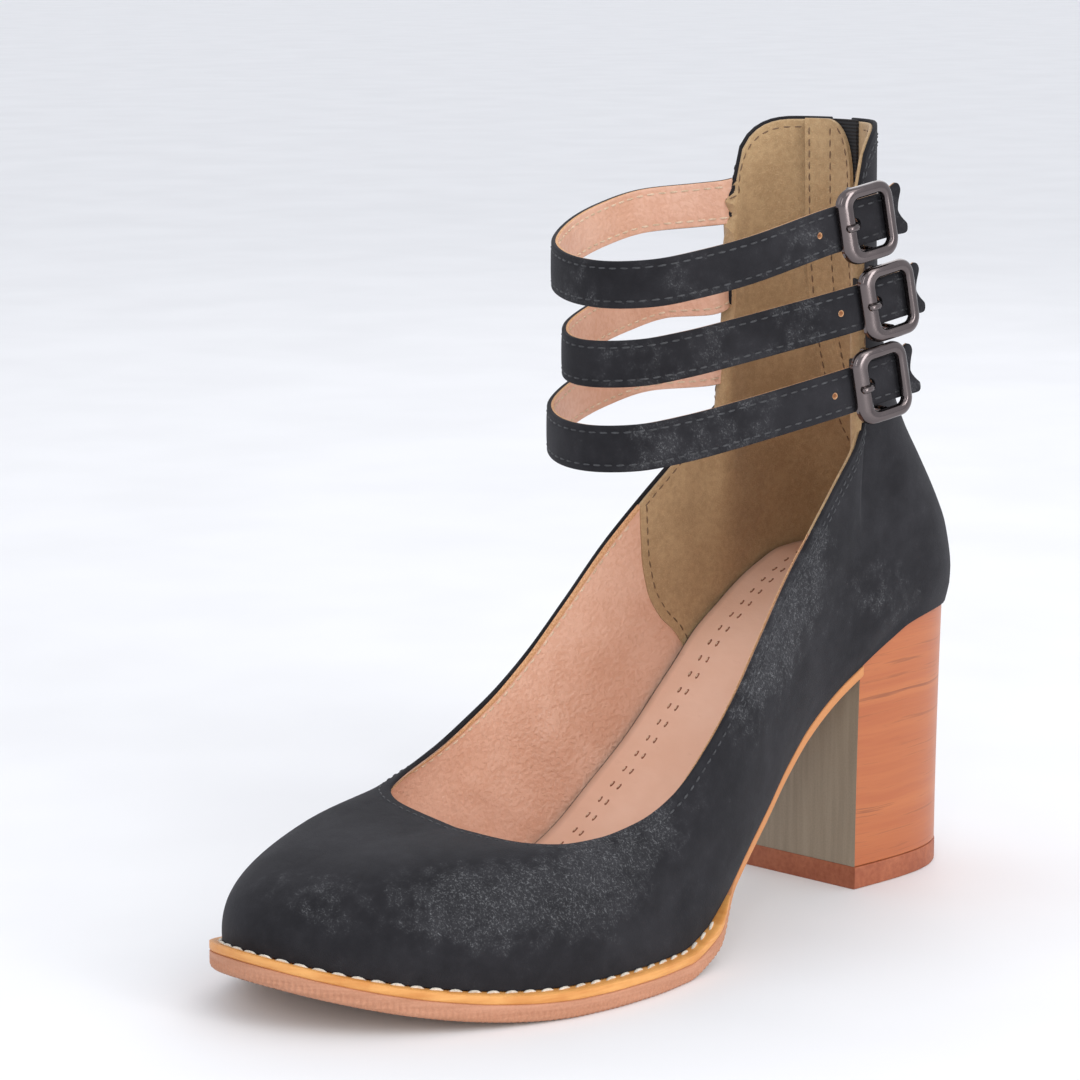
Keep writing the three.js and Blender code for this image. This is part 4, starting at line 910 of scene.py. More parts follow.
def edgeRibbon(walkFrom, walkTo, depth):  # raw edge of the lining, just under the folded edge
    parts = []
    for line, normal in bothSides(upperShape["edgeDrop"] + .7, depth - .1, walkFrom, walkTo):
        angle = np.linspace(0, 2 * math.pi, 8, endpoint=False)
        along = unit(np.gradient(line, axis=0))
        up = unit(np.cross(along, normal))
        rings = line[:, None] + (up[:, None] * np.cos(angle)[None, :, None] * edgeStrip["width"]
                                 + normal[:, None] * np.sin(angle)[None, :, None] * edgeStrip["proud"])
        parts.append(tube(rings))
    return joinParts(parts)


makePiece("liningRawEdge", *edgeRibbon(.487, 1.0, upperShape["liningOut"]), [rawEdge], slot="insole")
print("upper stitched")


# ---- footbed ----
footbed = {"rise": 15.5, "spread": 3.7, "toeRelief": 1.2, "cup": .9, "edgeRound": .9, "dashInset": 7.6,
           "pairPitch": 5.2, "dashLength": 2.5, "dashWidth": .9, "dashApart": 2.5}
bedAt = [.024, .066, .109, .152, .195, .238, .280, .323, .375, .439, .503, .559, .623, 1.0]
bedRise = curveOf(bedAt, [.87, .87, .90, .97, 1, 1, .97, .84, .68, .50, .29, .19, .16, .16])
bedSpread = curveOf(bedAt, [-.20, .33, .55, .68, .78, .86, .95, .95, .85, .66, .30, .10, -.12, -.12])


def bedInset(x):
    return shaft["wall"] + 2 * gap + footbed["toeRelief"] * ease((shareAt(x) - .8) / .2)


def bedEdge(x, side, level, inset=0.0):
    return edgeY(x, side, level * footbed["spread"] * bedSpread(shareAt(x)) - bedInset(x) - inset)


def bedTop(x, across=1.0):  # across 0 in the middle, 1 at the edge
    return featherZ(x) + footbed["rise"] * bedRise(shareAt(x)) - footbed["cup"] * (1 - across**2)


ends = backX + bedInset(backX), toeX - bedInset(toeX)
xs = mix(ends[0], ends[1], (1 - np.cos(math.pi * np.linspace(0, 1, 150))) / 2)
rings, sides = [], []
for x in xs:
    lateral = [float(bedEdge(x, 1, level)) for level in (0, .5, 1)]
    medial = [float(bedEdge(x, -1, level)) for level in (0, .5, 1)]
    height = float(footbed["rise"] * bedRise(shareAt(x)))
    foot, top = float(featherZ(x)), float(bedTop(x))
    r = min(footbed["edgeRound"], (lateral[2] - medial[2]) / 4, height / 2)
    ring = [(lateral[0], foot), (lateral[1], foot + height / 2)]
    ring += [(lateral[2] - r + r * math.cos(a), top - r + r * math.sin(a)) for a in np.linspace(0, math.pi / 2, 5)]
    inner = np.linspace(lateral[2] - r, medial[2] + r, 26)[1:-1]
    half, centre = (lateral[2] - medial[2]) / 2, (lateral[2] + medial[2]) / 2
    ring += [(y, float(bedTop(x, min(1, abs(y - centre) / max(half - r, .1))))) for y in inner]
    ring += [(medial[2] + r - r * math.cos(a), top - r + r * math.sin(a)) for a in np.linspace(math.pi / 2, 0, 5)]
    ring += [(medial[1], foot + height / 2), (medial[0], foot)]
    rings.append([(x, y, z) for y, z in ring])
    # the side mark is 1 on the footbed's edge faces and 0 on its top; the shader paints those edges near-black as
    # painted shade
    sides.append([1, 1, 1, 1, 1, .9, .3] + [0] * 24 + [.3, .9, 1, 1, 1, 1, 1])
points, faces = tube(rings)
makePiece("footbed", points, faces, [footbedLeather], marks={"side": np.append(np.ravel(sides), [1, 1])},
          stands=("insole",), slot="insole", crease=50)

xs = np.concatenate([np.linspace(backX + 14, toeArcStart, 300), mix(toeArcStart, toeX - 12, np.sin(
    np.linspace(0, math.pi / 2, 60)))[1:]])
parts, threads = [], []
for side in (1, -1):
    for extra in (0, footbed["dashApart"]):
        inset = footbed["dashInset"] + extra
        y = bedEdge(xs, side, 1.0, inset)
        half = (bedEdge(xs, 1, 1.0) - bedEdge(xs, -1, 1.0)) / 2
        centre = (bedEdge(xs, 1, 1.0) + bedEdge(xs, -1, 1.0)) / 2
        line = xyz(xs, y, bedTop(xs, clamp01(np.abs(y - centre) / np.maximum(half, .1))) + .15)
        across = xyz(0 * xs, 0 * xs + 1, 0 * xs)
        up = unit(np.cross(unit(np.gradient(line, axis=0)), across) * 1.0)
        up = np.where(up[:, 2:] < 0, -up, up)
        parts.append(stitchRow(line, up, {"pitch": footbed["pairPitch"], "length": footbed["dashLength"],
                                          "radius": footbed["dashWidth"] / 2, "proud": -.5, "dip": .1}, 40))
        threads.append(stitchRow(line, up, {"pitch": footbed["pairPitch"], "length": footbed["dashLength"] * .5,
                                            "radius": footbed["dashWidth"] * .17, "proud": .8}, 40))
makePiece("footbedDashes", *joinParts(parts), [brownInk], slot="insole", crease=60)
makePiece("footbedThreads", *joinParts(threads), [creamThread], slot="insole", crease=60)
print("footbed made")


# ---- sole, welt and heel ----
def foreness(x):
    return ease((shareAt(x) - .475) / .065)


def weltTop(x):
    return featherZ(x) - gap


def soleTop(x):
    return weltTop(x) - (sole["welt"] + gap) * foreness(x)


def soleBottom(x):
    slope = (featherZ(x + 1) - featherZ(x - 1)) / 2
    return soleTop(x) - mix(sole["waist"] * np.hypot(1, slope), sole["thickness"], foreness(x))


def edgeRow(grow, side, straight, arc):  # row beside the feather edge, grow outside it, round to the toe
    g = np.broadcast_to(np.asarray(grow(straight), float), straight.shape)
    end = float(grow(np.array([toeX]))[0]) if np.ndim(grow(np.array([toeX]))) else float(grow(toeX))
    y = np.array([float(edgeY(x, side, float(k))) for x, k in zip(straight, g)])
    x = mix(toeArcStart, toeX + end, np.sin(arc))
    return np.concatenate([straight, x]), np.concatenate([y, edgeY(x, side, end)])


def evenArc(grow, side, step):  # arc angles set at about even steps along the toe
    fine = np.linspace(0, math.pi / 2, 600)
    x = mix(toeArcStart, toeX + grow, np.sin(fine))
    y = edgeY(x, side, grow)
    run = np.concatenate([[0], np.cumsum(np.hypot(np.diff(x), np.diff(y)))])
    return np.interp(np.linspace(0, run[-1], max(8, int(run[-1] / step)))[1:], run, fine)


arcCount = 260
straight = np.linspace(breast + gap, toeArcStart, 340)
arcs = {side: np.interp(np.linspace(0, 1, arcCount + 1)[1:], np.linspace(0, 1, len(a)), a)
        for side in (1, -1) for a in [np.append([0], evenArc(sole["stand"], side, .4))]}
soleRows = [(-.35, 1.0, 0), (0, .93, 0), (0, .75, 0), (0, .62, .0), (0, .5, 1), (0, .36, 1), (0, .26, 1),
            (-sole["edgeRound"] * .3, .1, 1), (-sole["edgeRound"], 0, 1)]
rowsBySide = {}
for side in (1, -1):
    rows = []
    for inset, height, rib in soleRows:
        x, y = edgeRow(lambda at: sole["stand"] * foreness(at) + inset, side, straight, arcs[side])
        z = mix(soleBottom(x), soleTop(x), height)
        if rib:
            run = np.concatenate([[0], np.cumsum(np.hypot(np.diff(x), np.diff(y)))])
            out = unit(np.stack([-side * np.gradient(y), side * np.gradient(x)], -1))
            wave = sole["ribDepth"] * (.5 + .5 * np.sin(run * 2 * math.pi / sole["ribPitch"])) * foreness(x)
            x, y = x - out[:, 0] * wave, y - out[:, 1] * wave
        rows.append(xyz(x, y, z))
    rowsBySide[side] = np.stack(rows)
loops = np.concatenate([rowsBySide[1], rowsBySide[-1][:, ::-1][:, 1:]], 1)
levels, count = loops.shape[:2]
points = loops.reshape(-1, 3)
faces = gridFaces(levels, count).tolist()
kinds = [0] * len(faces)
half = rowsBySide[1].shape[1]
for level, kind in ((0, 0), (levels - 1, 1)):
    for i in range(half - 1):
        a, b = level * count + i, level * count + i + 1
        c, d = level * count + count - 2 - i, level * count + count - 1 - i
        faces.append([a, b, c, d])
        kinds.append(kind)
back = [level * count for level in range(levels)]
for a, b in zip(back, back[1:]):
    faces.append([a, b, b + count - 1, a + count - 1])
    kinds.append(0)
makePiece("outsolePlate", points, faces, [soleEdge, soleUnder], kinds, marks={"fore": foreness(points[:, 0])},
          stands=("outsole",), slot="outsole", crease=50)

weltStart = stationX(.5)
straight = np.linspace(weltStart, toeArcStart, 120)
weltSection = [(-6.0, 1.0), (-.4, 1.0), (.55, 1.0), (.85, .97), (1.0, .86), (1.0, .5), (1.0, .16), (.9, .02), (.5, -.02),
               (-6.0, -.02)]
rows = {1: [], -1: []}
for side in (1, -1):
    arc = np.append([0], evenArc(sole["stand"], side, .9))
    arc = np.interp(np.linspace(0, 1, 111)[1:], np.linspace(0, 1, len(arc)), arc)
    for reach, height in weltSection:
        x, y = edgeRow(lambda at: np.where(reach > 0, sole["stand"] * foreness(at) * reach, reach) + 0 * at, side, straight, arc)
        rows[side].append(xyz(x, y, mix(soleTop(x) - .04, weltTop(x), height)))
rings = np.concatenate([np.stack(rows[1], 1), np.stack(rows[-1], 1)[::-1][1:]], 0)
makePiece("weltStrip", *tube(rings), [weltLeather], stands=("welt",), slot="welt", crease=50)

weltThread = {"pitch": 4.5, "length": 3.9, "radius": .42, "slant": .16, "proud": .35}
lines = []
for side in (1, -1):
    arc = evenArc(.7, side, .9)
    x, y = edgeRow(lambda at: .55 + 0 * at, side, np.linspace(weltStart + 8, toeArcStart, 160), arc)
    lines.append(xyz(x, y, weltTop(x) + .1))
line = np.concatenate([lines[0], lines[1][::-1][1:]])
makePiece("weltStitches", *stitchRow(line, xyz(0 * line[:, 0], 0 * line[:, 0], 1 + 0 * line[:, 0]), weltThread, 50),
          [whiteThread], slot="welt", crease=60)


def heelOutline(t, v, side, grow=0.0):
    flare = heel["flare"] * v**2 + grow
    rear = -breast - flare
    front = breast + grow * .3
    x = np.where(t < .35, mix(front, seatMiddle, t / .35), mix(seatMiddle, rear, np.sin(clamp01((t - .35) / .65)
                                                                                       * math.pi / 2)))
    share = clamp01((seatMiddle - x) / (seatMiddle - rear))
    narrowing = 1.2 * clamp01((x - seatMiddle) / (breast - seatMiddle)) ** 1.5
    return x, side * ((heel["halfWidth"] + flare) * np.sqrt(1 - share ** last["seatPower"]) - narrowing)


def heelBody(levels, grow):
    t = np.concatenate([[0, .006, .02], np.linspace(.06, 1, 64)])
    rings = []
    for z, v, inset in levels:
        xa, ya = heelOutline(t, v, 1, grow - inset)
        xb, yb = heelOutline(t[::-1][1:], v, -1, grow - inset)
        x, y = np.concatenate([xa, xb]), np.concatenate([ya, yb])
        rings.append(xyz(x, y, z(x)))
    columns = rings[0].shape[0]
    points, faces = tube(rings)
    kinds = [1 if len(f) == 4 and {f[0] % columns, f[1] % columns} == {0, columns - 1} else 0 for f in faces]
    return points, faces, kinds


def flatAt(z):
    return lambda x: z + 0 * x


blockFoot = heel["lift"] + gap * .2
levels = [(flatAt(blockFoot), 0, .3), (flatAt(blockFoot + .25), 0, 0)]
levels += [(lambda x, v=v: mix(blockFoot, weltTop(x), v), v, 0) for v in np.linspace(.04, 1, 18)]
points, faces, kinds = heelBody(levels, 0)
makePiece("heelBlock", points, faces, [woodWrap, breastSheet], kinds, stands=("heel_block",), slot="stacked_wood", crease=35)
levels = [(flatAt(0), 0, .5), (flatAt(.15), 0, .15), (flatAt(.5), 0, 0), (flatAt(heel["lift"] - .5), 0, 0),
          (flatAt(heel["lift"] - .12), 0, .12), (flatAt(heel["lift"]), 0, .4)]
points, faces, kinds = heelBody(levels, .15)
makePiece("heelLift", points, faces, [liftRubber], stands=("top_lift",), slot="lift", crease=35)
print("sole and heel made")


# ---- straps and buckles ----
strapShape = {"width": 11.5, "thickness": 2.0, "notch": 2.2, "flare": .7, "twist": 1.1, "seatThin": .36, "stitchIn": 1.75,
              "groove": .16, "puff": .12, "leatherLow": -.2, "holeSpacing": 14.0, "holeRadius": .85, "samples": 190}
buckleShape = {"length": 17.0, "height": 19.2, "rail": 4.5, "sideRail": 3.0, "backRail": 3.0, "depth": 2.2, "arch": .8,
               "corner": 4.4, "inner": 1.9, "turn": math.pi / 12, "rise": .2, "bar": .7, "prong": .9, "prongTip": 1.6}
loopReach = [.070, .190, .380, .600, .850, .975, 1.0, .935, .800, .620]
loopAcross = [-.85, -1.19, -1.24, -1.13, -.80, -.38, .02, .35, .53, .66]
loopHalfWidth = 34.0
strapRows = {
    "top": {"up": .890, "fall": -.20, "reach": .3084, "skew": 0, "bulge": 1.0, "setOff": -.167,
            "ahead": .0450, "out": .3458, "buckleUp": .883, "tail": .765, "tailUp": .047},
    "middle": {"up": .779, "fall": -.17, "reach": .3041, "skew": -.176, "bulge": .66, "setOff": 1.722,
               "ahead": .0107, "out": .3576, "buckleUp": .783, "tail": .706, "tailUp": .029},
    "lower": {"up": .681, "fall": -.17, "reach": .3191, "skew": -.088, "bulge": .87, "setOff": .611,
              "ahead": .0236, "out": .3634, "buckleUp": .681, "tail": .735, "tailUp": .047}}
railLow = strapShape["thickness"] / 2 + gap
barOut = -(strapShape["thickness"] / 2 + 2.9 * gap + .8 + buckleShape["bar"])
prongStart = -(buckleShape["bar"] + gap + buckleShape["prong"])


def shaftEdge(z, width, side, clearance):
    walks = np.linspace(backShare, .45, 60)[:, None]
    rises = np.array([.84, .93, 1.0])[None, :]
    spots = np.concatenate([skinAt(walks, rises, side, np.full((60, 3), d)).reshape(-1, 3) for d in (0, shaft["wall"])])
    near = spots[np.abs(spots[:, 2] - z) < width]
    return np.array([near[:, 0].max() + clearance, side * (shaft["halfWidth"] - shaft["wall"] / 2), z])


def wallY(x, z, side, depth):  # y inside the shaft's wall beside its front edge
    near = backPoint(np.linspace(.3, 1, 80), z, side)
    return float(np.interp(x, near[:, 0], near[:, 1])) - side * depth


def settled(line, until, passes=9):  # evens out the first points of a path
    line = np.array(line)
    for _ in range(passes):
        line[1:until] = (line[:until - 1] + 2 * line[1:until] + line[2:until + 1]) / 4
    return line


class Seat:  # turning frame of a buckle: x along the strap to its tail, y up across it, z out of the shoe
    def __init__(self, row):
        along = np.array([-math.cos(buckleShape["turn"]), math.sin(buckleShape["turn"]), buckleShape["rise"]])
        self.along = unit(along)
        self.up = unit(np.array([0, 0, 1.0]) - self.along * self.along[2])
        self.out = np.cross(self.along, self.up)
        self.centre = np.array([shaft["front"] + row["ahead"] * last["length"], row["out"] * last["ballWidth"],
                                row["buckleUp"] * shaft["top"]])

    def place(self, points):
        p = np.asarray(points, float)
        return self.centre + p[..., :1] * self.along + p[..., 1:2] * self.up + p[..., 2:3] * self.out


def bandFrames(line):
    along = unit(np.gradient(line, axis=0))
    up = unit(np.array([0, 0, 1.0]) - along * along[:, 2:])
    return along, up, np.cross(along, up)


def sweepBand(line, section, taper=None, tail=None):  # section rows are (share of half width, depth) of each ring
    along, up, out = bandFrames(line)
    rings = []
    total = alongLine(line, [0])[1]
    run = np.linspace(0, total, len(line))
    for i in range(len(line)):
        share, depth = section[:, 0], section[:, 1].copy()
        width = strapShape["width"] / 2
        if taper is not None:
            depth = depth * taper(run[i])
        if tail:
            left = total - run[i]
            grow = ease((5.5 - left) / 5.5)
            width = width + strapShape["flare"] * grow * ease((6 - left) / 6)
            lobe = clamp01((np.abs(share) - .6) / .4)
            cutBack = strapShape["notch"] * (1 - np.minimum(1, np.abs(share) / .68) ** 1.5) + 1.1 * (1 - np.sqrt(1 - lobe**2))
            shift = (strapShape["twist"] * share - cutBack) * clamp01((4.6 - left) / 4.6)
        else:
            shift = 0 * share
        rings.append(line[i] + up[i] * (share * width)[:, None] + out[i] * depth[:, None] + along[i] * shift[:, None])
    return np.array(rings)


def outerSection():
    half = strapShape["width"] / 2
    high, low = strapShape["thickness"] / 2 - .02, strapShape["leatherLow"]
    round_ = .55
    face = np.linspace(-1 + round_ / half, 1 - round_ / half, 27)
    away = half * (1 - np.abs(face)) - strapShape["stitchIn"]
    top = high - strapShape["puff"] - strapShape["groove"] * hump(away, .42) \
        + strapShape["puff"] * np.sqrt(np.maximum(0, 1 - (face / .72) ** 2)) * (np.abs(face) < .72)
    rows = [(-1 + round_ / half * (1 - math.sin(a)), high - strapShape["puff"] - round_ * (1 - math.cos(a)))
            for a in np.linspace(math.pi / 2, 0, 5)[:-1]]
    rows += list(zip(face, top))
    rows += [(1 - round_ / half * (1 - math.sin(a)), high - strapShape["puff"] - round_ * (1 - math.cos(a)))
             for a in np.linspace(0, math.pi / 2, 5)[1:]]
    return np.array(rows + [(share * .985, low) for share, _ in rows[::-1]])


def innerSection():
    low, high = -strapShape["thickness"] / 2 + .03, strapShape["leatherLow"] - .01
    face = np.linspace(-.93, .93, 21)
    half = strapShape["width"] / 2
    away = half * (1 - np.abs(face)) - strapShape["stitchIn"]
    rows = [(-.975, low + .3), (-.965, low + .08)] + [(s, low + .12 * hump(a, .45)) for s, a in zip(face, away)]
    rows += [(.965, low + .08), (.975, low + .3)]
    return np.array(rows + [(share, high) for share, _ in rows[::-1]])


def pierce(piece, centre, axis, radius, reach=3.0):  # real hole through a piece
    rings = []
    side = unit(np.cross(axis, [0, 0, 1.0]))
    other = np.cross(axis, side)
    for d in (-reach, reach):
        rings.append([centre + axis * d + (side * math.cos(a) + other * math.sin(a)) * radius
                      for a in np.linspace(0, 2 * math.pi, 20, endpoint=False)])
    cutter = bpy.data.meshes.new("cutter")
    cloud, faces = tube(rings)
    cutter.from_pydata((cloud / 1000).tolist(), [], faces)
    tool = bpy.data.objects.new("cutter", cutter)
    bpy.context.scene.collection.objects.link(tool)
    change = piece.modifiers.new("hole", "BOOLEAN")
    change.operation, change.solver, change.object = "DIFFERENCE", "EXACT", tool
    result = bpy.data.meshes.new_from_object(piece.evaluated_get(bpy.context.evaluated_depsgraph_get()))
    piece.modifiers.remove(change)
    piece.data = result
    bpy.data.objects.remove(tool)


def hoop(centre, axis, inner, outer, half):  # thin sleeve that lines a hole
    side = unit(np.cross(axis, [0, 0, 1.0]))
    other = np.cross(axis, side)
    angle = np.linspace(0, 2 * math.pi, 25)[:-1]
    section = [(inner, -half), (outer, -half), (outer, half), (inner, half)]
    rings = np.array([[centre + axis * d + (side * math.cos(a) + other * math.sin(a)) * r for r, d in section] for a in angle])
    faces = gridFaces(4, len(angle), True)
    return rings.transpose(1, 0, 2).reshape(-1, 3), faces.tolist() + [
        [3 * len(angle) + i, 3 * len(angle) + (i + 1) % len(angle), (i + 1) % len(angle), i] for i in range(len(angle))]


def frameBody(spec):  # domed buckle frame, swept between its outer and inner outlines
    def loop(halfX, halfY, r, cx=0.0):
        points = []
        for qx, qy, start in ((1, -1, -90), (1, 1, 0), (-1, 1, 90), (-1, -1, 180)):
            for a in np.linspace(0, 90, 11):
                t = math.radians(start + a)
                points.append((cx + qx * (halfX - r) + r * math.cos(t), qy * (halfY - r) + r * math.sin(t)))
        dense = []
        for i, p in enumerate(points):
            q = points[(i + 1) % len(points)]
            steps = 8 if i % 11 == 10 else 1
            dense += [(mix(p[0], q[0], k / steps), mix(p[1], q[1], k / steps)) for k in range(steps)]
        return np.array(dense)
    outer = loop(spec["length"] / 2, spec["height"] / 2, spec["corner"])
    windowX = (spec["length"] - spec["rail"] - spec["backRail"]) / 2
    inner = loop(windowX, spec["height"] / 2 - spec["sideRail"], spec["inner"], (spec["rail"] - spec["backRail"]) / 2)
    section = []
    for a in np.linspace(math.pi, 0, 13):  # over the dome from the window to the outline
        section.append((.5 + .5 * math.copysign(abs(math.cos(a)) ** .8, -math.cos(a)) * -1, math.sin(a) ** .7))
    rows = []
    for s, h in section:
        flat = mix(outer, inner, s)
        z = railLow + .45 + (spec["depth"] - .45) * h + spec["arch"] * (1 - (2 * flat[:, 0] / spec["length"]) ** 2)
        rows.append(xyz(flat[:, 0], flat[:, 1], z))
    for s in (.06, .94):
        flat = mix(inner, outer, s if section[-1][0] < .5 else 1 - s)
        rows.append(xyz(flat[:, 0], flat[:, 1], railLow + spec["arch"] * (1 - (2 * flat[:, 0] / spec["length"]) ** 2)))
    rows = np.array(rows)
    faces = gridFaces(rows.shape[0], rows.shape[1], True).tolist()
    n, final = rows.shape[1], rows.shape[0] - 1
    faces += [[final * n + i, final * n + (i + 1) % n, (i + 1) % n, i] for i in range(n)]
    return rows.reshape(-1, 3), faces


def roundWire(points, radius, count=24, around=12, tip=True):
    line, total = smoothPath(points, count)
    along = unit(np.gradient(line, axis=0))
    first = np.array([0, 1.0, 0]) if abs(along[0][1]) < .9 else np.array([1.0, 0, 0])
    side = unit(first - along * (along @ first)[:, None])
    other = np.cross(along, side)
    run = np.linspace(0, total, count)
    size = radius * (np.sqrt(np.maximum(.02, 1 - clamp01((run - total + radius) / radius) ** 2)) if tip else 1 + 0 * run)
    angle = np.linspace(0, 2 * math.pi, around, endpoint=False)
    rings = line[:, None] + (side[:, None] * np.cos(angle)[None, :, None] + other[:, None]
                             * np.sin(angle)[None, :, None]) * size[:, None, None]
    return tube(rings)


strapThread = {"pitch": 3.1, "length": 2.5, "radius": .26, "proud": .3}
insideThread = {"pitch": 3.0, "length": 2.5, "radius": .29, "proud": .5}
for order, (name, row) in enumerate(strapRows.items()):
    seat = Seat(row)
    start = shaftEdge(row["up"] * shaft["top"], strapShape["width"], -1, row["setOff"] * shaft["wall"])
    start[1] = wallY(min(start[0], shaft["front"]), start[2], -1, -.2)
    edgeX = shaftEdge(start[2], 2.5, -1, 0)[0]
    loopX = [shaft["front"] + r * row["reach"] * last["length"] for r in loopReach]
    loopPoints = [np.array([x, (a * (row["bulge"] if a < 0 else 1) + row["skew"] * float(ease(r / .2))) * loopHalfWidth,
                            row["up"] * shaft["top"] + row["fall"] * (x - shaft["front"])])
                  for x, r, a in zip(loopX, loopReach, loopAcross)]
    straight = [seat.place([s * buckleShape["length"], 0, 0]) for s in (-.62, -.3, 0, .3, .55)]
    tail = seat.place(np.array([row["tail"], row["tailUp"], 0]) * buckleShape["length"])
    route = [start] + loopPoints + straight + [tail]
    line, total = smoothPath(route, strapShape["samples"])
    back = np.linspace(start[0] - edgeX + 1.3, .4, 6)
    lead = xyz(start[0] - back, 0, start[2] - row["fall"] * back)
    lead[:, 1] = [wallY(min(x, shaft["front"]), z, -1, -.2) for x, _, z in lead]
    full = np.concatenate([lead, line])
    fullLength = alongLine(full, [0])[1]
    line = settled(alongLine(full, np.linspace(0, fullLength, strapShape["samples"]))[0], 16)
    edgeRun = float(np.interp(edgeX, line[:12, 0], np.linspace(0, fullLength, strapShape["samples"])[:12]))

    def thin(run, edgeRun=edgeRun):
        return mix(strapShape["seatThin"], 1, ease((run - edgeRun - .6) / 3.0))

    along, up, out = bandFrames(line)
    frostLine = np.clip(np.array([sum(s * math.exp(-((i / len(line) - c) / wdt) ** 2) for c, wdt, s in
                                      ((.50 + .05 * order, .05, .45), (.66, .05, .4), (.84 - .05 * order, .05, .5),
                                       (.3, .08, .3), (.97, .03, .5))) for i in range(len(line))]) + .03, 0, 1)
    section = outerSection()
    rings = sweepBand(line, section, thin, True)
    points, faces = tube(rings, True)
    edgeFrost = .16 + .22 * hump(section[:, 0] + .74, .16) + .1 * hump(section[:, 0] - .76, .14)
    marks = {"frost": (frostLine[:, None] + edgeFrost[None, :] - .1).ravel(), "seam": np.full(len(points), 9.0)}
    leather = makePiece("strapLeather_" + name, points, faces, [nubuck], marks=marks, stands=("strap_" + name,), slot="suede",
                        crease=42)
    section = innerSection()
    rings = sweepBand(line, section, thin, True)
    points, faces = tube(rings, True)
    columns = len(section)
    edgeKinds = [0 if len({i % columns for i in f}) == 2 and all(1 <= i % columns <= 23 for i in f) else 1 for f in faces]
    lining = makePiece("strapLining_" + name, points, faces, [liningLeather, rawEdge], edgeKinds,
                       marks={"wrinkle": np.full(len(points), .25)}, slot="insole", crease=42)
    distance = np.linalg.norm(line - seat.place([-strapShape["holeSpacing"], 0, 0]), axis=1)
    spot = len(line) // 2 + int(distance[len(line) // 2:].argmin())
    holes = [(line[spot], out[spot], strapShape["holeRadius"])]
    prongSpot = seat.place([prongStart * 1.37, 0, 0])
    holes.append((prongSpot, seat.out, 1.6))
    for centre, axis, radius in holes:
        pierce(leather, centre, axis, radius)
        pierce(lining, centre, axis, radius)
    centre, axis, radius = holes[0]
    makePiece("holeSleeve_" + name, *hoop(centre, axis, radius - .2, radius + .02, strapShape["thickness"] / 2 - .18), [rawEdge],
              slot="insole")
    for label, depth, flip, spec, thread, skipFrom in (
            ("strapStitches_", strapShape["thickness"] / 2 - .26, 1, strapThread, darkThread, 1.2),
            ("strapLiningStitches_", -strapShape["thickness"] / 2 + .13, -1, insideThread, creamThread, 1.0)):
        parts = []
        for edge in (-1, 1):
            reach = strapShape["width"] / 2 - strapShape["stitchIn"]
            run = np.linspace(0, fullLength, len(line))
            keep = (run > edgeRun + skipFrom) & (run < fullLength - 4.5)
            path = (line + up * edge * reach + out * depth)[keep]
            parts.append(stitchRow(path, (out * flip)[keep], spec, 60 + order))
        makePiece(label + name, *joinParts(parts), [thread], slot="suede" if flip > 0 else "insole", crease=60)
    points, faces = frameBody(buckleShape)
    earOut = strapShape["width"] / 2 + gap
    ears = []
    for end in (-1, 1):
        ears.append(roundWire([(0, end * (earOut + 1.3), barOut - .2), (0, end * (earOut + 1.3), barOut * .3),
                               (0, end * (earOut + 1.35), railLow + .6)], 1.15, 8, 12, False))
    ears.append(roundWire([(0, -earOut - 1.5, barOut), (0, 0, barOut), (0, earOut + 1.5, barOut)], buckleShape["bar"], 6, 12, False))
    points, faces = joinParts([(points, faces)] + ears)
    makePiece("buckleFrame_" + name, seat.place(points), faces, [gunmetal], stands=("buckle_frame_" + name,), slot="gunmetal",
              crease=50)
    middle = buckleShape["rail"] / 2 - buckleShape["length"] / 2
    topOut = railLow + buckleShape["depth"] + 1.5 * gap + buckleShape["prong"]
    pin = [(prongStart, 0, barOut), (prongStart * 1.15, 0, barOut * .35), (prongStart * 1.5, 0, railLow * .6),
           (middle * .62, 0, topOut * .72), (middle * .9, 0, topOut - .35),
           (middle - buckleShape["prongTip"], 0, topOut - .55)]
    points, faces = roundWire(pin, buckleShape["prong"] * .95, 30, 14)
    makePiece("bucklePin_" + name, seat.place(points), faces, [gunmetal], stands=("buckle_prong_" + name,), slot="gunmetal",
              crease=50)
    layer = -(strapShape["thickness"] / 2 + 1.6 * gap + .4)
    begin = shaftEdge(row["buckleUp"] * shaft["top"], 9.5, 1, 2 * gap)
    begin[1] = wallY(min(begin[0], shaft["front"]), begin[2], 1, .1)
    inside = seat.place([-3.24, 0, barOut - buckleShape["bar"] - 1.26])
    route = [begin, begin + (inside - begin) * .5, inside, seat.place([-3.6, 0, layer]), seat.place([-1.44, 0, layer]),
             seat.place([1.8, 0, layer])]
    band, bandLength = smoothPath(route, 60)
    edgeX = shaftEdge(begin[2], 3.0, 1, 0)[0]
    back = np.linspace(begin[0] - edgeX + 1.0, .4, 4)
    lead = xyz(begin[0] - back, 0, begin[2] + 0 * back)
    lead[:, 1] = [wallY(min(x, shaft["front"]), z, 1, .1) for x, _, z in lead]
    band = settled(np.concatenate([lead, band]), 8, 4)
    across = np.array([(-1, .3), (-.94, .4), (-.5, .4), (-.16, .4), (.16, .4), (.5, .4), (.94, .4), (1, .3), (1, -.3), (.94, -.4),
                       (.5, -.4), (.16, -.4), (-.16, -.4), (-.5, -.4), (-.94, -.4), (-1, -.3)])
    _, bandUp, bandOut = bandFrames(band)
    rings = band[:, None] + bandUp[:, None] * (across[:, 0] * 4.75)[None, :, None] + bandOut[:, None] * (
        across[:, 1])[None, :, None]
    points, faces = tube(rings)
    run = np.linspace(0, bandLength + 5, len(band))
    webMarks = {"run": np.append(np.repeat(run, len(across)), [0, bandLength]),
                "across": np.append(np.tile(across[:, 0], len(band)), [0, 0])}
    makePiece("elasticWeb_" + name, points, faces, [webbing], marks=webMarks, stands=("elastic_" + name,), slot="webbing", crease=50)
print("straps, buckles and elastics made")


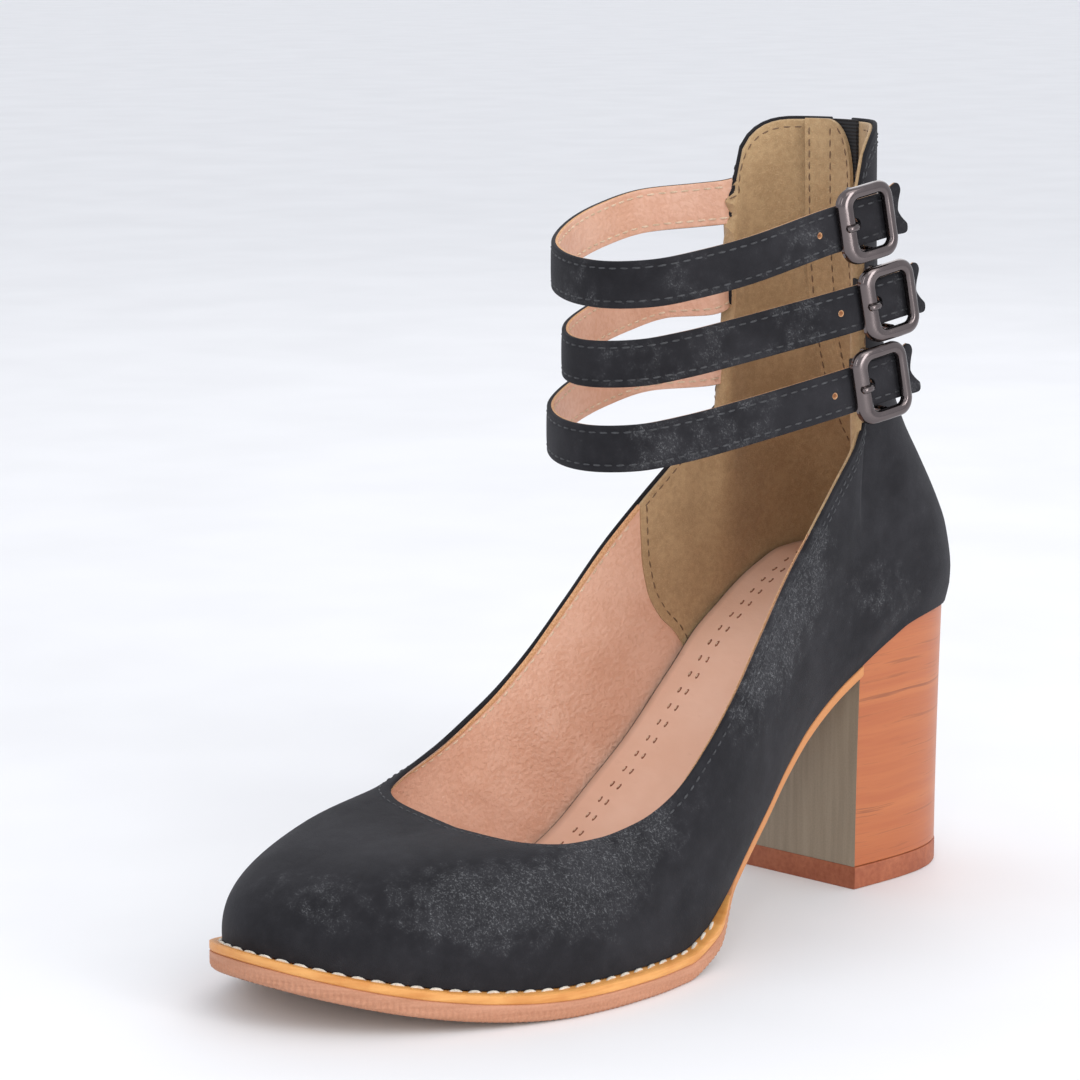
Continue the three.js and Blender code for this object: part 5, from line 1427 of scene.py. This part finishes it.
# ---- rear zip ----
zipShape = {"tapeWidth": 17.0, "tapeThickness": .8, "pitch": 1.45, "toothRadius": .42, "sliderUp": .94, "sliderLength": 11.0,
            "sliderWidth": 7.8, "sliderThickness": 1.6, "bridge": 1.4, "eye": .65, "play": .35, "pullLength": 25.0,
            "pullWidth": 9.0, "lean": 6.0, "guardWidth": 15.0, "guardShift": -2.5, "guardThickness": 1.0, "guardCorner": 16.0}
tapeFoot = max(shaft["slotFoot"] - 4, last["seatHeight"] + footbed["rise"] + 2 * gap)
zipTop = shaft["top"] - gap


def backAt(y, z, depth):  # point under the back wall by its y, height and depth
    y, z = np.broadcast_arrays(np.asarray(y, float), np.asarray(z, float))
    turn = turnAt(np.abs(y), z)
    lateral = np.where((y >= 0)[..., None], backPoint(turn, z, 1), backPoint(turn, z, -1))
    ahead, behind = backAt0(y, z, .4), backAt0(y, z, -.4)
    over, under = backAt0(y, z + .5, 0), backAt0(y, z - .5, 0)
    normal = unit(np.cross(over - under, ahead - behind))
    normal = np.where(normal[..., :1] > 0, -normal, normal)
    return lateral - normal * np.asarray(depth, float)[..., None] if np.ndim(depth) else lateral - normal * depth


def backAt0(y, z, shift):
    w = np.abs(y + shift)
    return np.where((y + shift >= 0)[..., None], backPoint(turnAt(w, z), z, 1), backPoint(turnAt(w, z), z, -1))


def backSheet(name, ys, zs, near, far, looks, marks=None, reach=None, **more):
    y, z = np.meshgrid(ys, zs, indexing="ij")
    if reach:
        y = y[0] + (y - y[0]) * reach(z)
    quads = gridFaces(len(ys), len(zs))
    outer, inner = [backAt(y, z, d).reshape(-1, 3) for d in (near, far)]
    points, faces = shellOf(outer, inner, quads)
    extra = {key: np.tile(value(y, z).ravel(), 2) for key, value in (marks or {}).items()}
    return makePiece(name, points, faces, looks, marks=extra, **more)


zs = np.linspace(tapeFoot, zipTop, 60)
near = shaft["wall"] + 1.5 * gap
backSheet("zipTape", np.linspace(-zipShape["tapeWidth"] / 2, zipShape["tapeWidth"] / 2, 18), zs, near,
          near + zipShape["tapeThickness"], [webbing], {"run": lambda y, z: z, "across": lambda y, z: y * 0 + .9},
          stands=("zip_tape",), slot="webbing", crease=50)
flap = shaft["wall"] + zipShape["tapeThickness"] + 2.5 * gap
flapYs = np.linspace(-zipShape["guardWidth"] / 2, zipShape["guardWidth"] / 2 + 2.6, 24) + zipShape["guardShift"]


def flapReach(z):  # the guard's free upper corner is rounded off
    into = clamp01((z - zipTop + zipShape["guardCorner"]) / zipShape["guardCorner"])
    return .40 + .60 * np.sqrt(1 - into**2)


flapZs = np.concatenate([np.linspace(tapeFoot, zipTop - zipShape["guardCorner"], 40)[:-1],
                         zipTop - zipShape["guardCorner"] * (1 - np.sin(np.linspace(0, math.pi / 2, 22)))])
backSheet("zipGuard", flapYs, flapZs, flap, flap + zipShape["guardThickness"], [tanSuede], reach=flapReach,
          stands=("zip_guard",), slot="guard", crease=50)
parts = []
for away in (1.3, flapYs[-1] - flapYs[0] - 1.3, 8.5):
    height = np.linspace(tapeFoot + 1.5, zipTop - 1.8, 60)
    y = flapYs[0] + away * flapReach(height) ** (1 if away > 10 else 0)
    line = backAt(y, height, flap + zipShape["guardThickness"])
    inward = unit(backAt(y, height, 6.0) - backAt(y, height, 2.0))
    parts.append(stitchRow(line, inward, {**liningThread, "radius": .2}, 70))
makePiece("guardStitches", *joinParts(parts), [bpy.data.materials["brownThread"]], slot="guard", crease=60)

teeth = []
count = int((zipTop - shaft["slotFoot"] - 1.5) / (zipShape["pitch"] / 2))
for i in range(count):  # coil teeth, left and right in turn
    z = shaft["slotFoot"] + 1.5 + i * zipShape["pitch"] / 2
    side = 1 if i % 2 else -1
    route = [(side * 2.3, 1.35), (side * 1.5, .72), (side * .2, .62), (side * -.55, .95), (side * .1, 1.35)]
    points = [backAt(np.array(y), np.array(z + .08 * (k - 2) * side), d).reshape(3) for k, (y, d) in enumerate(route)]
    teeth.append(roundWire(points, zipShape["toothRadius"], 9, 7, False))
makePiece("zipCoil", *joinParts(teeth), [coilPlastic], slot="webbing", crease=60)
parts = []
for y in (-2.75, 2.75):
    line = backAt(np.full(60, y), zs, near - .02)
    outward = unit(backAt(np.full(60, y), zs, 0.0) - backAt(np.full(60, y), zs, 4.0))
    parts.append(stitchRow(line, outward, {"pitch": 1.6, "length": 1.3, "radius": .22}, 80))
makePiece("zipTapeStitches", *joinParts(parts), [darkThread], slot="webbing", crease=60)

sliderZ = shaft["top"] * zipShape["sliderUp"]
sliderAt = backPoint(0.0, sliderZ, 1) - np.array([gap, 0, 0])
bridgeOut = zipShape["sliderThickness"] + 2 * zipShape["eye"] + 2 * zipShape["play"]
pullAxis = sliderAt + np.array([-(zipShape["sliderThickness"] + zipShape["play"] + zipShape["eye"]), 0,
                                -zipShape["sliderLength"] * .2])


def slabFrom(outline, low, high, roundness):  # outline of (across, up) points as a plate with rounded edges
    outline = np.array(outline, float)
    centre = outline.mean(0)
    size = np.linalg.norm(outline - centre, axis=1, keepdims=True)
    rows = []
    for inset, out in ((roundness, low), (roundness * .3, low + roundness * .3), (0, low + roundness), (0, high - roundness),
                       (roundness * .3, high - roundness * .3), (roundness, high)):
        flat = centre + (outline - centre) * (1 - inset / size)
        rows.append(xyz(np.full(len(flat), -out), flat[:, 0], flat[:, 1]))
    return tube(rows)


half = zipShape["sliderLength"] / 2
wide = zipShape["sliderWidth"] / 2
shield = [(wide * w, half * h) for w, h in ((-.55, -.98), (-.62, -.6), (-.72, -.2), (-.9, .2), (-1, .6), (-.9, .88), (-.5, 1),
                                             (-.15, .8), (.15, .8), (.5, 1), (.9, .88), (1, .6), (.9, .2), (.72, -.2),
                                             (.62, -.6), (.55, -.98), (.2, -1), (-.2, -1))]
slider = [slabFrom(shield, 0, zipShape["sliderThickness"], .4)]
arch = [(-.6, 0, -half * .78), (-bridgeOut * .8, 0, -half * .74), (-bridgeOut - .4, 0, -half * .45),
        (-bridgeOut - .55, 0, half * .1), (-bridgeOut - .4, 0, half * .5), (-bridgeOut * .8, 0, half * .74), (-.6, 0, half * .78)]
slider.append(roundWire(arch, zipShape["bridge"] / 2 * .85, 30, 12, False))
points, faces = joinParts(slider)
makePiece("zipSlider", points + sliderAt, faces, [gunmetal], stands=("zip_slider",), slot="gunmetal", crease=45)

tilt = math.radians(zipShape["lean"])


def leaned(points):  # pull's own frame: x out of the back is negative, z up, turned about its eye
    p = np.asarray(points, float)
    x = p[..., 0] * math.cos(tilt) + p[..., 2] * math.sin(tilt)
    z = p[..., 2] * math.cos(tilt) - p[..., 0] * math.sin(tilt)
    return xyz(x, p[..., 1], z) + pullAxis


wide, long = zipShape["pullWidth"] / 2, zipShape["pullLength"]
eyeHalf, windowHalf = wide * .62, zipShape["bridge"] / 2 + zipShape["play"]
outer = [(-eyeHalf, .2), (-eyeHalf, -1.5), (-eyeHalf * 1.02, -3.2), (-wide * .72, -7), (-wide * .84, -12), (-wide * .96, -17)]
outer += [(wide * math.cos(a), -long + wide + wide * math.sin(a)) for a in np.linspace(math.pi, 2 * math.pi, 17)]
outer += [(-y, z) for y, z in outer[:6]][::-1] + [(eyeHalf * .8, .62), (0, .66), (-eyeHalf * .8, .62)]
inner = [(-windowHalf, -.35), (-windowHalf, -1.2), (-windowHalf, -2.2), (-windowHalf, -3.0), (-windowHalf * .95, -3.6),
         (-windowHalf * .8, -4.0)]
inner += [(windowHalf * .75 * math.cos(a), -4.0 - .2 * abs(math.sin(a))) for a in np.linspace(math.pi, 2 * math.pi, 17)]
inner += [(-y, z) for y, z in inner[:6]][::-1] + [(windowHalf * .8, -.3), (0, -.3), (-windowHalf * .8, -.3)]
outer, inner = np.array(outer), np.array(inner)
rows = []
thick = .46
for s, x in ((0, 0), (.03, -thick * .75), (.10, -thick), (.9, -thick), (.97, -thick * .75), (1, 0), (.97, thick * .75),
             (.9, thick), (.10, thick), (.03, thick * .75)):
    flat = mix(outer, inner, s)
    swell = 1 + .35 * hump(flat[:, 1] + 19, 5)
    rows.append(xyz(x * swell, flat[:, 0], flat[:, 1]))
rows = np.array(rows)
n = rows.shape[1]
faces = gridFaces(len(rows), n, True).tolist()
faces += [[(len(rows) - 1) * n + i, (len(rows) - 1) * n + (i + 1) % n, (i + 1) % n, i] for i in range(n)]
bar = roundWire([(0, -eyeHalf, 0), (0, 0, 0), (0, eyeHalf, 0)], zipShape["eye"], 6, 14, False)
points, faces = joinParts([(rows.reshape(-1, 3), faces), bar])
makePiece("zipPull", leaned(points), faces, [gunmetal], body="pull", stands=("zip_pull",), slot="gunmetal", crease=45)
print("zip made")


# ---- floor, light and camera ----
studio = {"floor": 16.0, "sky": .96, "key": 4.6, "fill": 1.6, "back": 2.2, "strip": 4.4}


def paintFloor(w):
    return {"Base Color": w.noise(90, 2).step(.2, .8).blend((.83, .83, .84), (.87, .87, .88)), "Roughness": .6 + w.noise(4) * .1,
            "Specular IOR Level": .25}


floorMesh = bpy.data.meshes.new("floor")
size = studio["floor"]
ring = [(size * math.cos(a), size * math.sin(a), 0) for a in np.linspace(0, 2 * math.pi, 64, endpoint=False)]
floorMesh.from_pydata(ring, [], [list(range(64))])
floorMesh.materials.append(look("paleFloor", paintFloor))
floor = bpy.data.objects.new("floor", floorMesh)
bpy.context.scene.collection.objects.link(floor)

world = bpy.data.worlds.new("softRoom")
bpy.context.scene.world = world
world.use_nodes = True
world.node_tree.nodes["Background"].inputs["Color"].default_value = (.93, .95, 1, 1)
world.node_tree.nodes["Background"].inputs["Strength"].default_value = studio["sky"]


def softLight(name, place, target, size, power, colour=(1, 1, 1)):
    lamp = bpy.data.lights.new(name, "AREA")
    lamp.shape, lamp.size, lamp.size_y, lamp.energy, lamp.color = "RECTANGLE", size[0], size[1], power, colour
    made = bpy.data.objects.new(name, lamp)
    made.location = place
    made.rotation_euler = (Vector(target) - Vector(place)).to_track_quat("-Z", "Y").to_euler()
    bpy.context.scene.collection.objects.link(made)


aim = (.08, 0, .09)
softLight("keySoftbox", (.25, .95, 1.05), aim, (.9, .9), studio["key"], (1, .98, .95))
softLight("fillSoftbox", (1.35, -.35, .75), aim, (.8, 1.0), studio["fill"], (.95, .97, 1))
softLight("backSoftbox", (-.9, -.4, 1.0), aim, (.8, .8), studio["back"])
softLight("stripLight", (.10, 1.15, .30), aim, (.28, .8), studio["strip"])
softLight("frontStrip", (1.05, .62, .42), aim, (.10, .6), studio["strip"] * .22)

view = {"place": (.72857, .56472, .25272), "aim": (.0905, -.0305, .0955), "lens": 117.0}
eye = bpy.data.cameras.new("camera")
eye.lens, eye.sensor_width, eye.sensor_fit = view["lens"], 36.0, "HORIZONTAL"
eye.clip_start, eye.clip_end = .05, 20
camera = bpy.data.objects.new("camera", eye)
camera.location = view["place"]
camera.rotation_euler = (Vector(view["aim"]) - Vector(view["place"])).to_track_quat("-Z", "Y").to_euler()
bpy.context.scene.collection.objects.link(camera)
bpy.context.scene.camera = camera
bpy.context.scene.view_settings.view_transform = "Standard"

print("scene ready")
